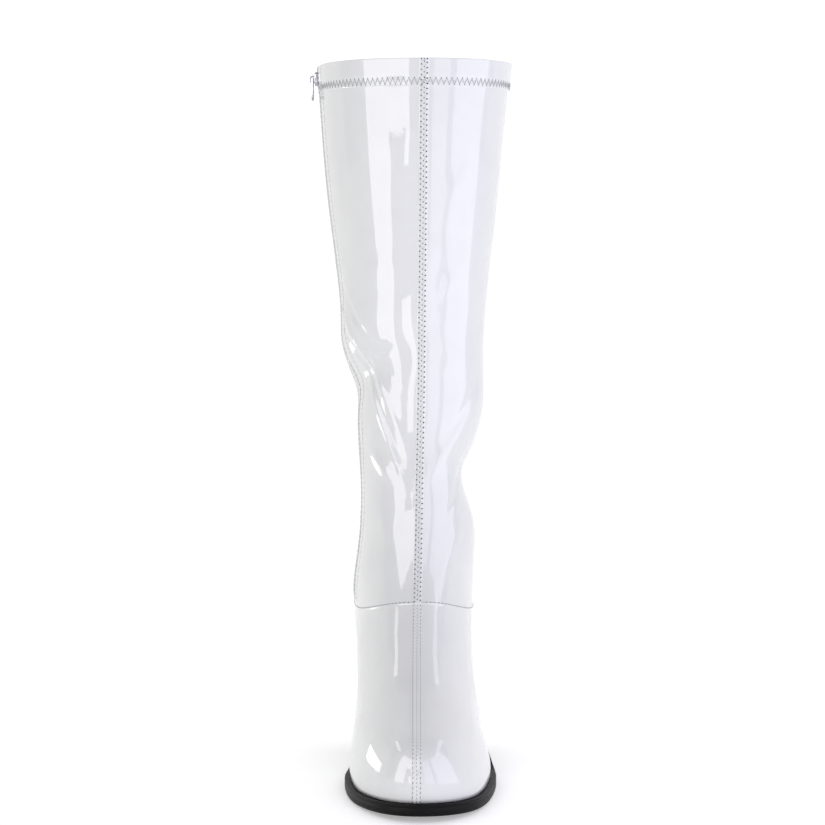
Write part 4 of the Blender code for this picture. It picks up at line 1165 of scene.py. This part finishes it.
def make_heel(cover, rubber):
    """Covered block heel, with its top lift below."""
    count = HEEL_COLUMNS
    low = LIFT_THICKNESS + CLEARANCE
    loops = []
    for inset, share in HEEL_FOOT:
        plan = shrunk(heel_plan(share, count), inset * EDGE_ROUND)
        loops.append(np.column_stack([plan, low + (feather(plan[:, 1]) - low) * share]) + PLACE)
    for share in np.linspace(HEEL_START, 1.0, HEEL_ROWS):
        plan = heel_plan(share, count)
        loops.append(np.column_stack([plan, low + (feather(plan[:, 1]) - low) * share]) + PLACE)
    block = slab("heel_cover", loops, HEEL_CAPS, [cover])
    block.data.set_sharp_from_angle(angle=math.radians(HEEL_SHARP))
    finish_piece(block, "boot", "heel_cover", "heel_block")
    base = heel_plan(0.0, count)
    loops = []
    high = LIFT_THICKNESS
    levels = ((4 * EDGE_ROUND, 0.0), (EDGE_ROUND, 0.0), (0.3 * EDGE_ROUND, 0.3 * EDGE_ROUND),
              (0.0, EDGE_ROUND), (0.0, high - EDGE_ROUND),
              (0.4 * EDGE_ROUND, high - 0.2 * EDGE_ROUND), (2 * EDGE_ROUND, high))
    for inset, level in levels:
        plan = shrunk(base, inset)
        loops.append(np.column_stack([plan, np.full(count, level)]) + PLACE)
    lift = slab("heel_lift", loops, HEEL_CAPS, [rubber])
    lift.data.set_sharp_from_angle(angle=math.radians(HEEL_SHARP))
    finish_piece(lift, "boot", "lift_rubber", "heel_top_lift")


class BootLook(bpy.types.PropertyGroup):
    """Colours and finishes of the boot."""

    patent_colour: FloatVectorProperty(
        name="Patent", description="Colour of the white patent",
        subtype="COLOR", default=(0.80, 0.805, 0.80), min=0, max=1)
    gloss_roughness: FloatProperty(
        name="Gloss roughness", description="Roughness of the clear coat",
        default=0.02, min=0, max=1)
    gloss_index: FloatProperty(
        name="Gloss index", description="Refractive index of the clear coat",
        default=1.5, min=1, max=3)
    film_scale: FloatProperty(
        name="Film waviness", description="Scale of the coat's slow waviness",
        default=120.0, min=1)
    thread_colour: FloatVectorProperty(
        name="Thread", description="Colour of the seam thread",
        subtype="COLOR", default=(0.80, 0.80, 0.79), min=0, max=1)
    # Grey painted onto white thread as the shade in the zigzag's groove; the cross seam's row is sewn in
    # the same grey.
    zigzag_shade_colour: FloatVectorProperty(
        name="Zigzag thread", description="Colour of the band's thread",
        subtype="COLOR", default=(0.50, 0.51, 0.51), min=0, max=1)
    lining_colour: FloatVectorProperty(
        name="Lining", description="Colour of the lining",
        subtype="COLOR", default=(0.62, 0.58, 0.50), min=0, max=1)
    rubber_colour: FloatVectorProperty(
        name="Rubber", description="Colour of outsole and lift",
        subtype="COLOR", default=(0.0045, 0.0045, 0.0048), min=0, max=1)
    metal_colour: FloatVectorProperty(
        name="Zip metal", description="Colour of slider and pull",
        subtype="COLOR", default=(0.40, 0.40, 0.44), min=0, max=1)


class BootStudio(bpy.types.PropertyGroup):
    """Light of the studio."""

    panel_gain: FloatProperty(
        name="Panels", description="Gain of all light panels",
        default=1.0, min=0)
    key_power: FloatProperty(
        name="Key", description="Power of the soft key from the right",
        default=6.0, min=0, unit="POWER")
    fill_power: FloatProperty(
        name="Foot fill", description="Power of the low fill on the foot",
        default=0.07, min=0, unit="POWER")
    sky_strength: FloatProperty(
        name="Surround", description="Strength of the even surround",
        default=0.585, min=0)
    floor_glow: FloatProperty(
        name="Floor glow", description="Own light of floor and backdrop",
        default=0.36, min=0)


class BOOT_OT_upper(bpy.types.Operator):
    """Make the fine shell of the upper"""

    bl_idname = "boot.upper"
    bl_label = "Upper"

    def execute(self, context):
        look = context.scene.boot_look
        shell = make_upper_shell([patent_leather("patent_white", look), lining_cloth(look)])
        finish_piece(shell, "boot", "white_patent", "upper")
        return {"FINISHED"}


class BOOT_OT_stitches(bpy.types.Operator):
    """Sew the front seam, the band, the cross seam and the zip's edges"""

    bl_idname = "boot.stitches"
    bl_label = "Stitches"

    def execute(self, context):
        look = context.scene.boot_look
        white = thread_material("white_thread", tuple(look.thread_colour))
        # Grey thread: the white thread darkened as painted shade in its groove.
        grey = thread_material("grey_shade_thread", tuple(look.zigzag_shade_colour))
        hole = hole_shade_material()
        make_front_seam(white, hole)
        make_band_zigzag(grey, hole)
        make_running_rows(white, grey, hole)
        return {"FINISHED"}


class BOOT_OT_zip(bpy.types.Operator):
    """Make the zip's tape, coil, stop, slider and pull"""

    bl_idname = "boot.zip"
    bl_label = "Zip"

    def execute(self, context):
        look = context.scene.boot_look
        metal = metal_material("bright_nickel", look)
        make_zip(woven_tape(look), thread_material("nylon_coil", tuple(look.thread_colour)), metal)
        slider = rounded_copy("zip_slider", "slider_body", metal, SLIDER_ROUND)
        finish_piece(slider, "boot", "slider_metal", "zip_slider")
        pull = rounded_copy("zip_pull", "pull_tab", metal, PULL_ROUND)
        finish_piece(pull, "pull", "pull_metal", "zip_pull")
        return {"FINISHED"}


class BOOT_OT_sole(bpy.types.Operator):
    """Make outsole, sock, covered heel and top lift"""

    bl_idname = "boot.sole"
    bl_label = "Sole and heel"

    def execute(self, context):
        look = context.scene.boot_look
        make_outsole(rubber_material("moulded_rubber", look, 900.0))
        make_sock(lining_cloth(look))
        make_heel(patent_leather("patent_heel", look), rubber_material("lift_rubber_fine", look, 600.0))
        return {"FINISHED"}


def stage_material(name, studio):
    """Matt white stage with a little light of its own."""
    material, tree, shader, place = new_material(name)
    cloud = add_noise(tree, place, scale=0.8, detail=1.0)
    add_ramp(tree, shader, cloud, (0.93, 0.93, 0.93), (0.95, 0.95, 0.95))
    set_inputs(shader, Roughness=0.9, Specular_IOR_Level=0.0, Emission_Color=(1, 1, 1, 1),
               Emission_Strength=studio.floor_glow)
    return material


def light_panel(row, gain):
    """Rectangular light on a cylinder round the boot, lit for reflections alone."""
    panel = dict(zip(PANELS_HEAD, row))
    light = bpy.data.lights.new(panel["name"], "AREA")
    light.shape = "RECTANGLE"
    low = PANEL_DISTANCE * math.tan(math.radians(panel["low"]))
    high = PANEL_DISTANCE * math.tan(math.radians(panel["high"]))
    light.size = 2 * PANEL_DISTANCE * math.tan(math.radians(panel["width"] / 2))
    light.size_y = high - low
    light.energy = math.pi * light.size * light.size_y * panel["glow"] * gain
    light.color = panel["tint"]
    obj = bpy.data.objects.new(panel["name"], light)
    bpy.context.scene.collection.objects.link(obj)
    turn = math.radians(panel["turn"])
    out = Vector((PANEL_DISTANCE * math.sin(turn), -PANEL_DISTANCE * math.cos(turn), (low + high) / 2))
    obj.location = Vector(PANEL_CENTRE) + out
    obj.rotation_euler = (math.pi / 2, 0.0, turn)
    obj.visible_diffuse = False
    obj.visible_camera = False
    return obj


def soft_light(row, power):
    """Wide soft light at a place, turned towards a target, kept out of the reflections."""
    soft = dict(zip(SOFT_HEAD, row))
    light = bpy.data.lights.new(soft["name"], "AREA")
    light.size = soft["size"]
    light.spread = math.radians(soft["spread"])
    light.energy = power
    light.color = soft["tint"]
    obj = bpy.data.objects.new(soft["name"], light)
    bpy.context.scene.collection.objects.link(obj)
    obj.location = soft["place"]
    aim = Vector(soft["target"]) - Vector(soft["place"])
    obj.rotation_euler = aim.to_track_quat("-Z", "Y").to_euler()
    obj.visible_glossy = False
    return obj


def make_stage(studio):
    """Floor that curves up into a backdrop: a quarter round between two planes."""
    turn = np.linspace(0, math.pi / 2, 24)
    back = BACKDROP_START + BACKDROP_ROUND
    y = np.concatenate([[-FLOOR_REACH], BACKDROP_START + BACKDROP_ROUND * np.sin(turn), [back]])
    z = np.concatenate([[0.0], BACKDROP_ROUND * (1 - np.cos(turn)), [BACKDROP_HEIGHT]])
    x = np.linspace(-FLOOR_REACH, FLOOR_REACH, 3)
    grid = np.stack([np.repeat(x[None], len(y), 0), np.repeat(y[:, None], len(x), 1),
                     np.repeat(z[:, None], len(x), 1)], -1)
    faces = quads(len(y), len(x), False)
    white = stage_material("studio_white", studio)
    floor = mesh_piece("studio_floor", grid.reshape(-1, 3), [faces], [white])


class BOOT_OT_stage(bpy.types.Operator):
    """Make floor, lights, surround and camera"""

    bl_idname = "boot.stage"
    bl_label = "Stage"

    def execute(self, context):
        studio = context.scene.boot_studio
        make_stage(studio)
        for row in PANELS:
            light_panel(row, studio.panel_gain)
        for row, power in zip(SOFT_LIGHTS, (studio.key_power, studio.fill_power)):
            soft_light(row, power)
        world = bpy.data.worlds.new("studio")
        world.use_nodes = True
        surround = world.node_tree.nodes["Background"]
        set_inputs(surround, Color=(1, 1, 1, 1), Strength=studio.sky_strength)
        context.scene.world = world
        camera = bpy.data.objects.new("camera", bpy.data.cameras.new("camera"))
        context.scene.collection.objects.link(camera)
        camera.data.lens = CAMERA_LENS
        camera.data.sensor_width = SENSOR
        camera.location = CAMERA_PLACE
        camera.rotation_euler = (math.radians(90 - CAMERA_PITCH), 0, 0)
        context.scene.camera = camera
        context.scene.view_settings.view_transform = "Standard"
        return {"FINISHED"}


class BOOT_PT_panel(bpy.types.Panel):
    """Sidebar panel of the boot"""

    bl_label = "Go go boot"
    bl_idname = "BOOT_PT_panel"
    bl_space_type = "VIEW_3D"
    bl_region_type = "UI"
    bl_category = "Boot"

    def draw(self, context):
        for name in BootLook.__annotations__:
            self.layout.prop(context.scene.boot_look, name)
        for name in BootStudio.__annotations__:
            self.layout.prop(context.scene.boot_studio, name)
        for operator in OPERATORS:
            self.layout.operator(operator.bl_idname)


OPERATORS = (BOOT_OT_upper, BOOT_OT_stitches, BOOT_OT_zip, BOOT_OT_sole, BOOT_OT_stage)
CLASSES = (BootLook, BootStudio, *OPERATORS, BOOT_PT_panel)


def register():
    """Register the classes and the settings on the scene."""
    for cls in CLASSES:
        bpy.utils.register_class(cls)
    bpy.types.Scene.boot_look = PointerProperty(type=BootLook)
    bpy.types.Scene.boot_studio = PointerProperty(type=BootStudio)


def unregister():
    """Take the settings and classes away again."""
    del bpy.types.Scene.boot_studio
    del bpy.types.Scene.boot_look
    for cls in reversed(CLASSES):
        bpy.utils.unregister_class(cls)


def main():
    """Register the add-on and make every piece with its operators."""
    register()
    bpy.ops.boot.upper()
    bpy.ops.boot.stitches()
    bpy.ops.boot.zip()
    bpy.ops.boot.sole()
    bpy.ops.boot.stage()


if __name__ == "__main__":
    main()
